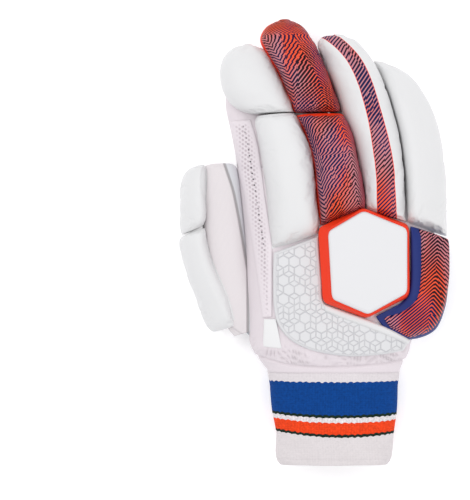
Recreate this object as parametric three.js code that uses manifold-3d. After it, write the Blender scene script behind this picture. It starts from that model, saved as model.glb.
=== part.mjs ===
// A right-hand cricket batting glove, lying palm down with its fingers along +Y and its thumb at -X.
// Lengths are millimetres, and z = 0 is the surface that the palm rests on.
import * as THREE from 'three';
import { mergeVertices } from 'three/addons/utils/BufferGeometryUtils.js';
import Module from 'manifold-3d';

const wasm = await Module();
wasm.setup();

// Overall sizes: the tables below hold shares of these three
const gloveLength = 296.7;
const handWidth = 133.3;
const knuckleHeight = 60;

// Walls and layers
const clearance = 0.3;
const stallWall = 2;
const palmWall = 3;
const sideWall = 3;
const backPadding = 8;
const knitWall = 2.6;
const leatherThickness = 1;
const strapThickness = 2;
const panelThickness = 3;
const weltThickness = 4.6;
const meshThickness = 1.4;
const tagThickness = 1.2;
const tagWidth = 10.5;
const tagLength = 19;
const shieldDepth = 8.5;
const shieldFaceDepth = 4;
const guardFaceDepth = 3.4;
const cuffLength = 62.3;

// How deep a sheet's underside runs into the hand before its seat is cut, how far past its faces a
// grown sheet cuts its neighbours, and how far an inner space runs out of an open end
const seatDepth = 1;
const sheetReach = 1.8;
const openReach = 6;
const bridgedGap = 1;

// Finger roll, guard and stall outlines are softly squared by these powers
const rollPower = 2.3;
const stallPower = 2.6;
const handPower = 2.7;
const cuffPower = 2.5;

// Points round a section
const rollSides = 16;
const stallSides = 16;
const handSides = 32;
const cuffSides = 32;

// Rows of a table become objects with the columns' names
function table(columns, rows) {
  return rows.map((row) => Object.fromEntries(columns.map((column, i) => [column, row[i]])));
}

// A chord row: the two edges of a section, seen from above and in height, then how far the section
// rises over the chord and sinks under it. x is a share of handWidth from the middle line, y of
// gloveLength from the knuckle line, and z, rise and sink of knuckleHeight.
const chordColumns = ['leftX', 'leftY', 'leftZ', 'rightX', 'rightY', 'rightZ', 'rise', 'sink'];

// A plan row: the two edges of a sheet that lies on the back of the hand
const planColumns = ['leftX', 'leftY', 'rightX', 'rightY'];
const pointColumns = ['x', 'y'];

const indexTipRows = table(chordColumns, [
  [-0.357, 0.443, 0.333, -0.312, 0.443, 0.333, 0.050, 0.050],
  [-0.412, 0.434, 0.333, -0.258, 0.434, 0.333, 0.150, 0.133],
  [-0.450, 0.416, 0.350, -0.228, 0.418, 0.350, 0.233, 0.167],
  [-0.468, 0.393, 0.367, -0.203, 0.396, 0.367, 0.283, 0.183],
  [-0.469, 0.366, 0.367, -0.172, 0.369, 0.400, 0.317, 0.183],
  [-0.453, 0.337, 0.383, -0.142, 0.339, 0.433, 0.325, 0.183],
  [-0.417, 0.312, 0.400, -0.122, 0.317, 0.467, 0.300, 0.183],
  [-0.367, 0.297, 0.433, -0.113, 0.301, 0.483, 0.233, 0.167],
  [-0.312, 0.289, 0.467, -0.107, 0.292, 0.500, 0.117, 0.100],
]);
const indexBaseRows = table(chordColumns, [
  [-0.287, 0.281, 0.500, -0.102, 0.287, 0.533, 0.133, 0.100],
  [-0.295, 0.270, 0.483, -0.085, 0.276, 0.533, 0.233, 0.167],
  [-0.287, 0.243, 0.483, -0.058, 0.249, 0.550, 0.300, 0.200],
  [-0.270, 0.198, 0.500, -0.022, 0.204, 0.583, 0.333, 0.200],
  [-0.253, 0.142, 0.533, -0.005, 0.151, 0.617, 0.342, 0.200],
  [-0.237, 0.085, 0.567, 0.005, 0.097, 0.667, 0.325, 0.200],
  [-0.228, 0.029, 0.600, 0.013, 0.056, 0.700, 0.300, 0.200],
  [-0.220, 0.000, 0.633, 0.014, 0.034, 0.733, 0.217, 0.167],
  [-0.217, -0.013, 0.650, 0.013, 0.022, 0.750, 0.083, 0.083],
]);
const middleTipRows = table(chordColumns, [
  [-0.180, 0.498, 0.333, -0.123, 0.499, 0.333, 0.050, 0.050],
  [-0.240, 0.482, 0.333, -0.060, 0.483, 0.333, 0.167, 0.133],
  [-0.270, 0.455, 0.350, -0.007, 0.451, 0.350, 0.250, 0.167],
  [-0.240, 0.425, 0.367, 0.025, 0.422, 0.383, 0.300, 0.183],
  [-0.198, 0.389, 0.400, 0.058, 0.387, 0.417, 0.333, 0.183],
  [-0.158, 0.348, 0.433, 0.090, 0.348, 0.450, 0.350, 0.183],
  [-0.122, 0.315, 0.467, 0.115, 0.315, 0.483, 0.300, 0.183],
  [-0.110, 0.300, 0.483, 0.122, 0.302, 0.500, 0.217, 0.150],
  [-0.102, 0.292, 0.500, 0.122, 0.294, 0.517, 0.100, 0.083],
]);
const middleBaseRows = table(chordColumns, [
  [-0.092, 0.283, 0.533, 0.135, 0.287, 0.533, 0.117, 0.100],
  [-0.080, 0.272, 0.533, 0.150, 0.276, 0.550, 0.233, 0.167],
  [-0.050, 0.238, 0.550, 0.180, 0.245, 0.567, 0.317, 0.200],
  [-0.018, 0.187, 0.600, 0.207, 0.196, 0.600, 0.367, 0.217],
  [-0.003, 0.130, 0.633, 0.230, 0.142, 0.633, 0.367, 0.217],
  [0.010, 0.079, 0.667, 0.242, 0.101, 0.667, 0.333, 0.217],
  [0.018, 0.054, 0.700, 0.242, 0.084, 0.700, 0.250, 0.167],
  [0.022, 0.040, 0.717, 0.242, 0.076, 0.717, 0.117, 0.100],
]);
const ringRows = table(chordColumns, [
  [0.092, 0.465, 0.333, 0.152, 0.463, 0.333, 0.050, 0.050],
  [0.040, 0.460, 0.333, 0.207, 0.451, 0.333, 0.167, 0.133],
  [0.015, 0.443, 0.350, 0.250, 0.429, 0.333, 0.250, 0.167],
  [0.043, 0.407, 0.367, 0.292, 0.402, 0.350, 0.300, 0.183],
  [0.083, 0.355, 0.417, 0.340, 0.353, 0.383, 0.333, 0.183],
  [0.128, 0.297, 0.467, 0.383, 0.294, 0.417, 0.350, 0.200],
  [0.177, 0.240, 0.533, 0.412, 0.236, 0.467, 0.358, 0.200],
  [0.212, 0.175, 0.583, 0.432, 0.171, 0.500, 0.367, 0.200],
  [0.235, 0.119, 0.633, 0.441, 0.110, 0.550, 0.350, 0.200],
  [0.245, 0.088, 0.667, 0.443, 0.070, 0.583, 0.250, 0.167],
  [0.249, 0.076, 0.683, 0.445, 0.054, 0.600, 0.117, 0.100],
]);
const littleRows = table(chordColumns, [
  [0.297, 0.407, 0.283, 0.347, 0.406, 0.283, 0.050, 0.050],
  [0.305, 0.398, 0.283, 0.412, 0.391, 0.283, 0.150, 0.117],
  [0.328, 0.375, 0.300, 0.482, 0.369, 0.283, 0.217, 0.150],
  [0.362, 0.342, 0.333, 0.537, 0.337, 0.300, 0.267, 0.167],
  [0.393, 0.308, 0.383, 0.578, 0.303, 0.317, 0.300, 0.183],
  [0.425, 0.249, 0.450, 0.618, 0.245, 0.333, 0.317, 0.200],
  [0.438, 0.187, 0.500, 0.642, 0.184, 0.350, 0.333, 0.217],
  [0.443, 0.119, 0.550, 0.652, 0.108, 0.367, 0.333, 0.233],
  [0.450, 0.070, 0.583, 0.656, 0.043, 0.383, 0.300, 0.217],
  [0.453, 0.054, 0.600, 0.657, 0.025, 0.383, 0.200, 0.167],
  [0.454, 0.047, 0.600, 0.657, 0.016, 0.383, 0.083, 0.083],
]);
const shellRows = table(chordColumns, [
  [-0.236, -0.284, 0.333, 0.424, -0.284, 0.333, 0.333, 0.350],
  [-0.284, -0.254, 0.317, 0.450, -0.254, 0.317, 0.383, 0.333],
  [-0.323, -0.213, 0.300, 0.487, -0.213, 0.300, 0.450, 0.317],
  [-0.338, -0.162, 0.283, 0.547, -0.162, 0.283, 0.500, 0.300],
  [-0.343, -0.106, 0.283, 0.588, -0.106, 0.283, 0.517, 0.300],
  [-0.343, -0.038, 0.283, 0.593, -0.038, 0.283, 0.517, 0.300],
  [-0.352, 0.029, 0.267, 0.598, 0.029, 0.267, 0.483, 0.283],
  [-0.372, 0.108, 0.250, 0.588, 0.108, 0.250, 0.400, 0.267],
  [-0.393, 0.169, 0.217, 0.578, 0.169, 0.217, 0.317, 0.233],
]);
const indexStallRows = table(chordColumns, [
  [-0.383, 0.170, 0.217, -0.130, 0.170, 0.217, 0.300, 0.233],
  [-0.415, 0.245, 0.208, -0.163, 0.247, 0.208, 0.250, 0.225],
  [-0.443, 0.306, 0.200, -0.190, 0.315, 0.200, 0.217, 0.217],
  [-0.438, 0.362, 0.200, -0.210, 0.366, 0.200, 0.200, 0.217],
  [-0.417, 0.398, 0.200, -0.228, 0.398, 0.200, 0.183, 0.200],
  [-0.388, 0.420, 0.200, -0.263, 0.422, 0.200, 0.133, 0.150],
  [-0.343, 0.434, 0.200, -0.292, 0.435, 0.200, 0.050, 0.050],
]);
const middleStallRows = table(chordColumns, [
  [-0.125, 0.170, 0.217, 0.107, 0.170, 0.217, 0.317, 0.233],
  [-0.158, 0.254, 0.208, 0.083, 0.254, 0.208, 0.267, 0.225],
  [-0.193, 0.344, 0.200, 0.043, 0.344, 0.200, 0.217, 0.217],
  [-0.223, 0.411, 0.200, -0.003, 0.411, 0.200, 0.200, 0.217],
  [-0.233, 0.452, 0.200, -0.052, 0.452, 0.200, 0.183, 0.200],
  [-0.212, 0.472, 0.200, -0.098, 0.474, 0.200, 0.133, 0.150],
  [-0.177, 0.481, 0.200, -0.133, 0.482, 0.200, 0.050, 0.050],
]);
const ringStallRows = table(chordColumns, [
  [0.113, 0.170, 0.217, 0.345, 0.170, 0.217, 0.300, 0.233],
  [0.092, 0.254, 0.208, 0.328, 0.254, 0.208, 0.250, 0.225],
  [0.058, 0.333, 0.200, 0.292, 0.333, 0.200, 0.217, 0.217],
  [0.028, 0.400, 0.200, 0.242, 0.400, 0.200, 0.200, 0.217],
  [0.028, 0.434, 0.200, 0.198, 0.436, 0.200, 0.183, 0.200],
  [0.058, 0.448, 0.200, 0.158, 0.449, 0.200, 0.133, 0.150],
  [0.087, 0.456, 0.200, 0.128, 0.457, 0.200, 0.050, 0.050],
]);
const littleStallRows = table(chordColumns, [
  [0.350, 0.170, 0.200, 0.578, 0.170, 0.200, 0.283, 0.217],
  [0.338, 0.254, 0.192, 0.562, 0.249, 0.192, 0.217, 0.208],
  [0.328, 0.310, 0.183, 0.527, 0.310, 0.183, 0.200, 0.200],
  [0.312, 0.355, 0.183, 0.482, 0.355, 0.183, 0.183, 0.200],
  [0.312, 0.378, 0.183, 0.432, 0.379, 0.183, 0.133, 0.150],
  [0.338, 0.392, 0.183, 0.383, 0.393, 0.183, 0.050, 0.050],
]);
const thumbRows = table(chordColumns, [
  [-0.512, 0.178, 0.250, -0.427, 0.179, 0.250, 0.100, 0.100],
  [-0.552, 0.171, 0.250, -0.395, 0.173, 0.250, 0.200, 0.200],
  [-0.565, 0.146, 0.250, -0.378, 0.148, 0.250, 0.233, 0.267],
  [-0.565, 0.097, 0.250, -0.362, 0.097, 0.250, 0.250, 0.267],
  [-0.560, 0.040, 0.250, -0.347, 0.040, 0.250, 0.250, 0.267],
  [-0.550, -0.016, 0.250, -0.333, -0.016, 0.250, 0.250, 0.267],
  [-0.532, -0.072, 0.250, -0.312, -0.072, 0.250, 0.250, 0.267],
  [-0.502, -0.124, 0.250, -0.287, -0.119, 0.250, 0.250, 0.267],
  [-0.463, -0.173, 0.250, -0.263, -0.160, 0.250, 0.233, 0.267],
  [-0.403, -0.209, 0.250, -0.242, -0.187, 0.250, 0.200, 0.233],
]);
const thumbGuardTipRows = table(chordColumns, [
  [-0.598, 0.171, 0.283, -0.552, 0.174, 0.317, 0.117, 0.117],
  [-0.640, 0.160, 0.250, -0.542, 0.169, 0.350, 0.200, 0.183],
  [-0.668, 0.130, 0.233, -0.537, 0.144, 0.383, 0.233, 0.217],
  [-0.672, 0.085, 0.233, -0.542, 0.099, 0.400, 0.250, 0.217],
  [-0.672, 0.047, 0.233, -0.542, 0.065, 0.400, 0.242, 0.217],
  [-0.666, 0.029, 0.250, -0.547, 0.049, 0.383, 0.200, 0.183],
  [-0.662, 0.020, 0.283, -0.555, 0.040, 0.367, 0.100, 0.100],
]);
const thumbGuardBaseRows = table(chordColumns, [
  [-0.667, 0.012, 0.283, -0.542, 0.035, 0.367, 0.100, 0.100],
  [-0.673, 0.002, 0.250, -0.532, 0.027, 0.383, 0.200, 0.183],
  [-0.665, -0.027, 0.233, -0.512, 0.000, 0.400, 0.250, 0.217],
  [-0.637, -0.072, 0.233, -0.472, -0.040, 0.400, 0.267, 0.217],
  [-0.605, -0.112, 0.233, -0.417, -0.081, 0.400, 0.267, 0.217],
  [-0.573, -0.151, 0.233, -0.378, -0.119, 0.400, 0.250, 0.217],
  [-0.540, -0.184, 0.250, -0.360, -0.155, 0.383, 0.200, 0.183],
  [-0.512, -0.199, 0.283, -0.352, -0.182, 0.367, 0.100, 0.100],
]);
const sideRimRows = table(chordColumns, [
  [0.464, 0.036, 0.775, 0.662, 0.006, 0.367, 0.067, 0.100],
  [0.465, 0.018, 0.775, 0.667, -0.007, 0.350, 0.117, 0.167],
  [0.466, -0.027, 0.765, 0.669, -0.038, 0.333, 0.133, 0.183],
  [0.466, -0.076, 0.750, 0.667, -0.092, 0.317, 0.133, 0.183],
  [0.455, -0.112, 0.735, 0.650, -0.147, 0.317, 0.133, 0.183],
  [0.420, -0.137, 0.715, 0.598, -0.196, 0.333, 0.133, 0.183],
  [0.368, -0.154, 0.710, 0.487, -0.215, 0.433, 0.133, 0.183],
  [0.320, -0.168, 0.700, 0.400, -0.204, 0.550, 0.100, 0.150],
  [0.297, -0.174, 0.700, 0.355, -0.195, 0.600, 0.050, 0.083],
]);
const panelRows = table(planColumns, [
  [-0.207, -0.022, 0.013, 0.016],
  [-0.210, -0.056, 0.018, -0.027],
  [-0.210, -0.094, 0.028, -0.083],
  [-0.207, -0.137, 0.037, -0.130],
  [-0.188, -0.178, 0.092, -0.144],
  [-0.128, -0.213, 0.172, -0.160],
  [-0.018, -0.238, 0.253, -0.175],
  [0.152, -0.251, 0.333, -0.191],
  [0.318, -0.248, 0.407, -0.207],
  [0.438, -0.240, 0.463, -0.221],
]);
const weltRows = table(planColumns, [
  [0.033, -0.133, 0.043, -0.151],
  [0.142, -0.151, 0.140, -0.169],
  [0.253, -0.169, 0.245, -0.187],
  [0.367, -0.191, 0.357, -0.207],
  [0.472, -0.216, 0.463, -0.226],
]);
const gussetRows = table(planColumns, [
  [-0.425, 0.272, -0.320, 0.276],
  [-0.402, 0.220, -0.300, 0.224],
  [-0.383, 0.160, -0.282, 0.164],
  [-0.357, 0.115, -0.263, 0.119],
  [-0.333, 0.047, -0.233, 0.052],
  [-0.312, -0.004, -0.217, 0.000],
  [-0.297, -0.049, -0.215, -0.043],
  [-0.278, -0.106, -0.215, -0.101],
  [-0.263, -0.157, -0.215, -0.155],
]);
const rimCorners = table(pointColumns, [
  [0.229, 0.078],
  [0.010, 0.033],
  [0.033, -0.131],
  [0.247, -0.167],
  [0.464, -0.118],
  [0.459, 0.040],
]);
const faceCorners = table(pointColumns, [
  [0.230, 0.073],
  [0.052, 0.026],
  [0.072, -0.125],
  [0.254, -0.160],
  [0.451, -0.112],
  [0.451, 0.033],
]);
const palmStripCorners = table(pointColumns, [
  [-0.343, 0.375],
  [-0.203, 0.375],
  [-0.182, 0.299],
  [-0.168, 0.209],
  [-0.177, 0.108],
  [-0.203, 0.034],
  [-0.237, 0.007],
  [-0.268, 0.038],
  [-0.302, 0.119],
  [-0.328, 0.209],
  [-0.343, 0.299],
]);
const thumbPatchCorners = table(pointColumns, [
  [-0.427, -0.043],
  [-0.323, -0.007],
  [-0.193, -0.007],
  [-0.087, -0.043],
  [-0.052, -0.106],
  [-0.087, -0.182],
  [-0.188, -0.227],
  [-0.282, -0.229],
  [-0.357, -0.196],
  [-0.407, -0.128],
]);

// The cuff's sections from the hand to the hem: its edges and top, at shares of its length
const cuffColumns = ['left', 'right', 'along', 'top'];
const cuffRows = table(cuffColumns, [
  [-0.238, 0.426, 0.00, 0.667],
  [-0.224, 0.414, 0.16, 0.665],
  [-0.213, 0.408, 0.44, 0.655],
  [-0.194, 0.394, 0.68, 0.640],
  [-0.196, 0.386, 0.86, 0.633],
  [-0.191, 0.380, 0.95, 0.628],
  [-0.172, 0.361, 1.00, 0.618],
]);

// The strap's outline under the cuff, from its free tip round
const strapCorners = table(pointColumns, [
  [-0.088, -0.429],
  [0.012, -0.326],
  [0.340, -0.322],
  [0.330, -0.460],
  [-0.043, -0.474],
]);

// The shield's underside: its height at the hand's middle line and how it falls to the little finger
const shieldBaseShare = 0.79;
const shieldSlope = 0.16;

// The tag's place: its middle, as shares, and its turn in degrees
const tagX = -0.212;
const tagY = -0.2;
const tagTurn = -8;

function place(x, y, z) {
  return new THREE.Vector3(x * handWidth, y * gloveLength, z * knuckleHeight);
}

// A chord row in millimetres
function chord(row) {
  const left = place(row.leftX, row.leftY, row.leftZ);
  const right = place(row.rightX, row.rightY, row.rightZ);
  return {
    middle: left.clone().add(right).multiplyScalar(0.5),
    half: right.clone().sub(left).multiplyScalar(0.5),
    rise: row.rise * knuckleHeight,
    sink: row.sink * knuckleHeight,
  };
}

// A section's outline, moved out by grow and kept above the floor height
function sectionRing(section, sides, power, grow, floor) {
  const reach = section.half.length();
  const half = section.half.clone().multiplyScalar((reach + grow) / reach);
  const ring = [];
  for (let i = 0; i < sides; i += 1) {
    const turn = (2 * Math.PI * (i + 0.5)) / sides;
    const across = Math.sign(Math.cos(turn)) * Math.abs(Math.cos(turn)) ** (2 / power);
    const up = Math.sign(Math.sin(turn)) * Math.abs(Math.sin(turn)) ** (2 / power);
    const height = (up > 0 ? section.rise : section.sink) + grow;
    const point = section.middle.clone().addScaledVector(half, across);
    point.z = Math.max(point.z + up * height, floor);
    ring.push(point);
  }
  return ring;
}

function average(ring) {
  const middle = new THREE.Vector3();
  ring.forEach((point) => middle.add(point));
  return middle.multiplyScalar(1 / ring.length);
}

// A closed body through rings of equal count, with a fan over each end, faces turned outwards
function skin(rings) {
  const sides = rings[0].length;
  const points = rings.flat();
  const first = points.push(average(rings[0])) - 1;
  const last = points.push(average(rings[rings.length - 1])) - 1;
  const faces = [];
  for (let i = 0; i < sides; i += 1) {
    const next = (i + 1) % sides;
    for (let r = 0; r + 1 < rings.length; r += 1) {
      const near = r * sides;
      const far = near + sides;
      faces.push([near + i, near + next, far + next], [near + i, far + next, far + i]);
    }
    const end = (rings.length - 1) * sides;
    faces.push([first, next, i], [last, end + i, end + next]);
  }
  const volume = faces.reduce((sum, [a, b, c]) => {
    const normal = points[b].clone().cross(points[c]);
    return sum + points[a].dot(normal);
  }, 0);
  const outward = volume > 0 ? faces : faces.map(([a, b, c]) => [a, c, b]);
  return solid(points, outward.flat());
}

// A closed surface as a solid that can be joined and cut
function solid(points, index) {
  const geometry = new THREE.BufferGeometry();
  geometry.setAttribute('position', new THREE.Float32BufferAttribute(points.flatMap((p) => [p.x, p.y, p.z]), 3));
  geometry.setIndex(index);
  const merged = mergeVertices(geometry, 1e-4);
  return new wasm.Manifold(new wasm.Mesh({
    numProp: 3,
    vertProperties: new Float32Array(merged.attributes.position.array),
    triVerts: new Uint32Array(merged.index.array),
  }));
}

// A section smaller than this is left out of an inner space
const leastReach = 0.8;

// A padded length through chord rows. grow swells it, or shrinks it for the space inside, and
// head and tail move its two ends out along its run.
function pad(rows, options = {}) {
  const { sides = rollSides, power = rollPower, grow = 0, floor = -Infinity, head = grow, tail = grow } = options;
  const sections = rows.map(chord).filter((section) => (
    section.half.length() + grow > leastReach && section.rise + grow > leastReach && section.sink + grow > leastReach
  ));
  const end = sections.length - 1;
  const headRun = sections[0].middle.clone().sub(sections[1].middle).normalize();
  const tailRun = sections[end].middle.clone().sub(sections[end - 1].middle).normalize();
  sections[0].middle.addScaledVector(headRun, head);
  sections[end].middle.addScaledVector(tailRun, tail);
  return skin(sections.map((section) => sectionRing(section, sides, power, grow, floor)));
}

// The sections of a padded length in millimetres, from the wrist towards the fingertips
function ordered(rows) {
  return rows.map(chord).sort((a, b) => a.middle.y - b.middle.y);
}

// The height of a padded length at a place, from the sections on either side of it. Past its ends
// it counts as nothing, but the gap between two lengths is bridged.
function heightOver(sections, power, x, y) {
  const last = sections.length - 1;
  if (y < sections[0].middle.y - bridgedGap || y > sections[last].middle.y + bridgedGap) return 0;
  const above = sections.findIndex((section) => section.middle.y > y);
  const upper = Math.max(above < 0 ? last : above, 1);
  const a = sections[upper - 1];
  const b = sections[upper];
  const t = THREE.MathUtils.clamp((y - a.middle.y) / (b.middle.y - a.middle.y), 0, 1);
  const middle = THREE.MathUtils.lerp(a.middle.x, b.middle.x, t);
  const reach = THREE.MathUtils.lerp(a.half.x, b.half.x, t);
  const share = Math.min(Math.abs((x - middle) / reach), 1);
  const lift = (1 - share ** power) ** (1 / power);
  return THREE.MathUtils.lerp(a.middle.z + lift * a.rise, b.middle.z + lift * b.rise, t);
}

// The back of the glove at a place: the hand, or the index stall where a sheet runs on over it
const handSections = ordered(shellRows);
const indexSections = ordered(indexStallRows);
function backHeight(x, y) {
  return Math.max(
    heightOver(handSections, handPower, x, y),
    heightOver(indexSections, stallPower, x, y),
  );
}

// A sheet laid over the back of the hand: its top is rounded down at its edges, and its underside
// runs a little into the hand, which then cuts its seat. A grown sheet cuts its neighbours.
const edgeShare = 0.55;
function drape(rows, across, thickness, grow = 0) {
  const reach = grow > 0 ? sheetReach : 0;
  const edge = (row, side) => place(row[`${side}X`], row[`${side}Y`], 0);
  const last = rows.length - 1;
  const rings = rows.map((row, r) => {
    const left = edge(row, 'left');
    const span = edge(row, 'right').sub(left);
    const out = span.clone().normalize().multiplyScalar(grow);
    const run = edge(rows[Math.min(r + 1, last)], 'left').sub(edge(rows[Math.max(r - 1, 0)], 'left')).normalize();
    const shift = (r === 0 ? -grow : 0) + (r === last ? grow : 0);
    const top = [];
    const under = [];
    for (let i = 0; i <= across; i += 1) {
      const share = i / across;
      const point = left.clone().addScaledVector(span, share);
      point.addScaledVector(out, 2 * share - 1).addScaledVector(run, shift);
      const height = backHeight(point.x, point.y);
      const rounded = r === 0 || r === last || i === 0 || i === across;
      const lift = (rounded ? edgeShare : 1) * thickness + reach;
      top.push(new THREE.Vector3(point.x, point.y, height + lift));
      under.push(new THREE.Vector3(point.x, point.y, height - seatDepth - reach));
    }
    return [...top, ...under.reverse()];
  });
  return skinStrip(rings);
}

// Like skin, but the end rings are closed by strips between their top and their underside
function skinStrip(rings) {
  const sides = rings[0].length;
  const points = rings.flat();
  const faces = [];
  for (let r = 0; r + 1 < rings.length; r += 1) {
    for (let i = 0; i < sides; i += 1) {
      const next = (i + 1) % sides;
      const near = r * sides;
      const far = near + sides;
      faces.push([near + i, near + next, far + next], [near + i, far + next, far + i]);
    }
  }
  const end = (rings.length - 1) * sides;
  for (let i = 0; i + 1 < sides / 2; i += 1) {
    const under = sides - 1 - i;
    faces.push([i + 1, i, under], [i + 1, under, under - 1]);
    faces.push([end + i, end + i + 1, end + under], [end + i + 1, end + under - 1, end + under]);
  }
  const volume = faces.reduce((sum, [a, b, c]) => (
    sum + points[a].dot(points[b].clone().cross(points[c]))
  ), 0);
  const outward = volume > 0 ? faces : faces.map(([a, b, c]) => [a, c, b]);
  return solid(points, outward.flat());
}

// Points along an outline whose corners are rounded by parabolas, a share of each edge long
function roundedOutline(corners, share, steps) {
  return corners.flatMap((corner, i) => {
    const point = place(corner.x, corner.y, 0);
    const before = corners[(i + corners.length - 1) % corners.length];
    const after = corners[(i + 1) % corners.length];
    const start = point.clone().lerp(place(before.x, before.y, 0), share);
    const end = point.clone().lerp(place(after.x, after.y, 0), share);
    return Array.from({ length: steps + 1 }, (_, k) => (
      new THREE.QuadraticBezierCurve3(start, point, end).getPoint(k / steps)
    ));
  });
}

// An outline scaled about its middle, moved out by grow and lifted to a height given at each place
function raised(outline, scale, grow, height) {
  const middle = average(outline);
  return outline.map((point, i) => {
    const before = outline[(i + outline.length - 1) % outline.length];
    const after = outline[(i + 1) % outline.length];
    const out = new THREE.Vector3(after.y - before.y, before.x - after.x, 0).normalize();
    const arm = point.clone().sub(middle);
    const side = Math.sign(out.dot(arm));
    const spot = middle.clone().addScaledVector(arm, scale).addScaledVector(out, side * grow);
    spot.z = height(spot.x);
    return spot;
  });
}

// A flat sheet of leather or webbing with its underside on the surface
function flatSheet(corners, share, thickness, grow = 0) {
  const outline = roundedOutline(corners, share, 2);
  return skin([
    raised(outline, 1, grow, () => -2 * grow),
    raised(outline, 1, grow, () => thickness + grow),
  ]);
}

// The largest body that a cut leaves: the crumbs it sheds at thin edges are trimmed away
function main(body) {
  return body.decompose().reduce((best, piece) => (piece.volume() > best.volume() ? piece : best));
}

function cut(body, ...tools) {
  return main(tools.reduce((rest, tool) => rest.subtract(tool), body));
}

// The hand
const handOuter = pad(shellRows, { sides: handSides, power: handPower, floor: 0 });
const handGrown = pad(shellRows, { sides: handSides, power: handPower, grow: clearance });

// The space inside the hand: the padded back is thicker than the palm and the sides
function handSpace() {
  const rows = shellRows.map((row) => ({ ...row, rise: row.rise - (backPadding - sideWall) / knuckleHeight }));
  return pad(rows, {
    sides: handSides, power: handPower, grow: -sideWall, floor: palmWall, head: openReach, tail: openReach,
  });
}

// A stall is open at the hand, where its first row is, and closed at the fingertip
function stallOuter(rows, grow = 0) {
  return pad(rows, { sides: stallSides, power: stallPower, grow, floor: grow ? -Infinity : 0 });
}

function stallSpace(rows) {
  return pad(rows, {
    sides: stallSides, power: stallPower, grow: -stallWall, floor: palmWall, head: openReach, tail: -stallWall,
  });
}

// The shield: an orange base that narrows to the outline of its white face
const shieldMiddleShare = 0.23;
function shieldHeight(lift) {
  return (x) => shieldBaseShare * knuckleHeight - shieldSlope * (x - shieldMiddleShare * handWidth) + lift;
}

function shieldRim(grow = 0) {
  const base = roundedOutline(rimCorners, 0.1, 3);
  const face = roundedOutline(faceCorners, 0.1, 3);
  const buried = 1.6 * shieldDepth;
  return skin([
    raised(base, 1, grow, shieldHeight(-buried)),
    raised(base, 1, grow, shieldHeight(0.35 * shieldDepth)),
    raised(face, 1.035, grow, shieldHeight(0.9 * shieldDepth)),
    raised(face, 1.0, grow, shieldHeight(shieldDepth + grow)),
  ]);
}

function shieldFace() {
  const face = roundedOutline(faceCorners, 0.1, 3);
  const foot = shieldDepth + clearance;
  return skin([
    raised(face, 0.99, 0, shieldHeight(foot)),
    raised(face, 0.985, 0, shieldHeight(foot + 0.45 * shieldFaceDepth)),
    raised(face, 0.955, 0, shieldHeight(foot + 0.8 * shieldFaceDepth)),
    raised(face, 0.86, 0, shieldHeight(foot + shieldFaceDepth)),
    raised(face, 0.4, 0, shieldHeight(foot + 1.15 * shieldFaceDepth)),
  ]);
}

// The side guard's face lies on its rim, set in from the rim's inner and lower edges
function guardFaceRows() {
  const innerSet = 0.2;
  const outerSet = 0.035;
  return sideRimRows.slice(0, -1).map((row, i) => {
    const low = THREE.MathUtils.smoothstep(i, 3, 6);
    const outer = outerSet + 0.08 * low;
    const mix = (name, share) => THREE.MathUtils.lerp(row[`left${name}`], row[`right${name}`], share);
    return {
      leftX: mix('X', innerSet), leftY: mix('Y', innerSet), leftZ: mix('Z', innerSet),
      rightX: mix('X', 1 - outer), rightY: mix('Y', 1 - outer), rightZ: mix('Z', 1 - outer),
      rise: row.rise + (guardFaceDepth + clearance) / knuckleHeight, sink: 0.1,
    };
  });
}

// A tube of the cuff's sections, whose underside is drawn flat. It is set in by inset, and reach
// moves its two ends out.
const flatUnder = 1.5;
function cuffTube(inset, reach) {
  const bottom = strapThickness + clearance;
  const start = shellRows[0].leftY * gloveLength - clearance;
  const rings = cuffRows.map((row, r) => {
    const end = (r === 0 ? reach : 0) - (r === cuffRows.length - 1 ? reach : 0);
    const left = row.left * handWidth + inset;
    const right = row.right * handWidth - inset;
    const low = bottom + inset;
    const top = row.top * knuckleHeight - inset;
    const section = {
      middle: new THREE.Vector3((left + right) / 2, start - row.along * cuffLength + end, (low + top) / 2),
      half: new THREE.Vector3((right - left) / 2, 0, 0),
      rise: (top - low) / 2,
      sink: (top - low) / 2 + flatUnder,
    };
    return sectionRing(section, cuffSides, cuffPower, 0, low);
  });
  return skin(rings);
}

// The tag: a small turned sheet on the back of the hand
function tagSheet() {
  const middle = place(tagX, tagY, 0);
  const turn = THREE.MathUtils.degToRad(tagTurn);
  const corner = (u, v) => {
    const point = new THREE.Vector3(u * tagWidth / 2, v * tagLength / 2, 0);
    point.applyAxisAngle(new THREE.Vector3(0, 0, 1), turn).add(middle);
    return [point.x / handWidth, point.y / gloveLength];
  };
  const rows = [1, 0.33, -0.33, -1].map((v) => [...corner(-1, v), ...corner(1, v)]);
  return drape(table(planColumns, rows), 4, tagThickness);
}

const colours = {
  white: [0xe8e8eb, 0.45],
  cloth: [0xece2e4, 0.9],
  orange: [0xff4b19, 0.4],
  navy: [0x4a3c78, 0.4],
  blue: [0x2d41b4, 0.4],
  leather: [0xdfeaf0, 0.55],
};

const glove = new THREE.Group();
glove.name = 'batting_glove';

// A finished solid as a named mesh of its own
function addPiece(name, body, look) {
  const [colour, roughness] = colours[look];
  const mesh = body.getMesh();
  const geometry = new THREE.BufferGeometry();
  geometry.setAttribute('position', new THREE.BufferAttribute(new Float32Array(mesh.vertProperties), 3));
  geometry.setIndex(new THREE.BufferAttribute(new Uint32Array(mesh.triVerts), 1));
  geometry.computeVertexNormals();
  const material = new THREE.MeshStandardMaterial({ color: colour, roughness, metalness: 0 });
  const piece = new THREE.Mesh(geometry, material);
  piece.name = name;
  glove.add(piece);
}

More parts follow.
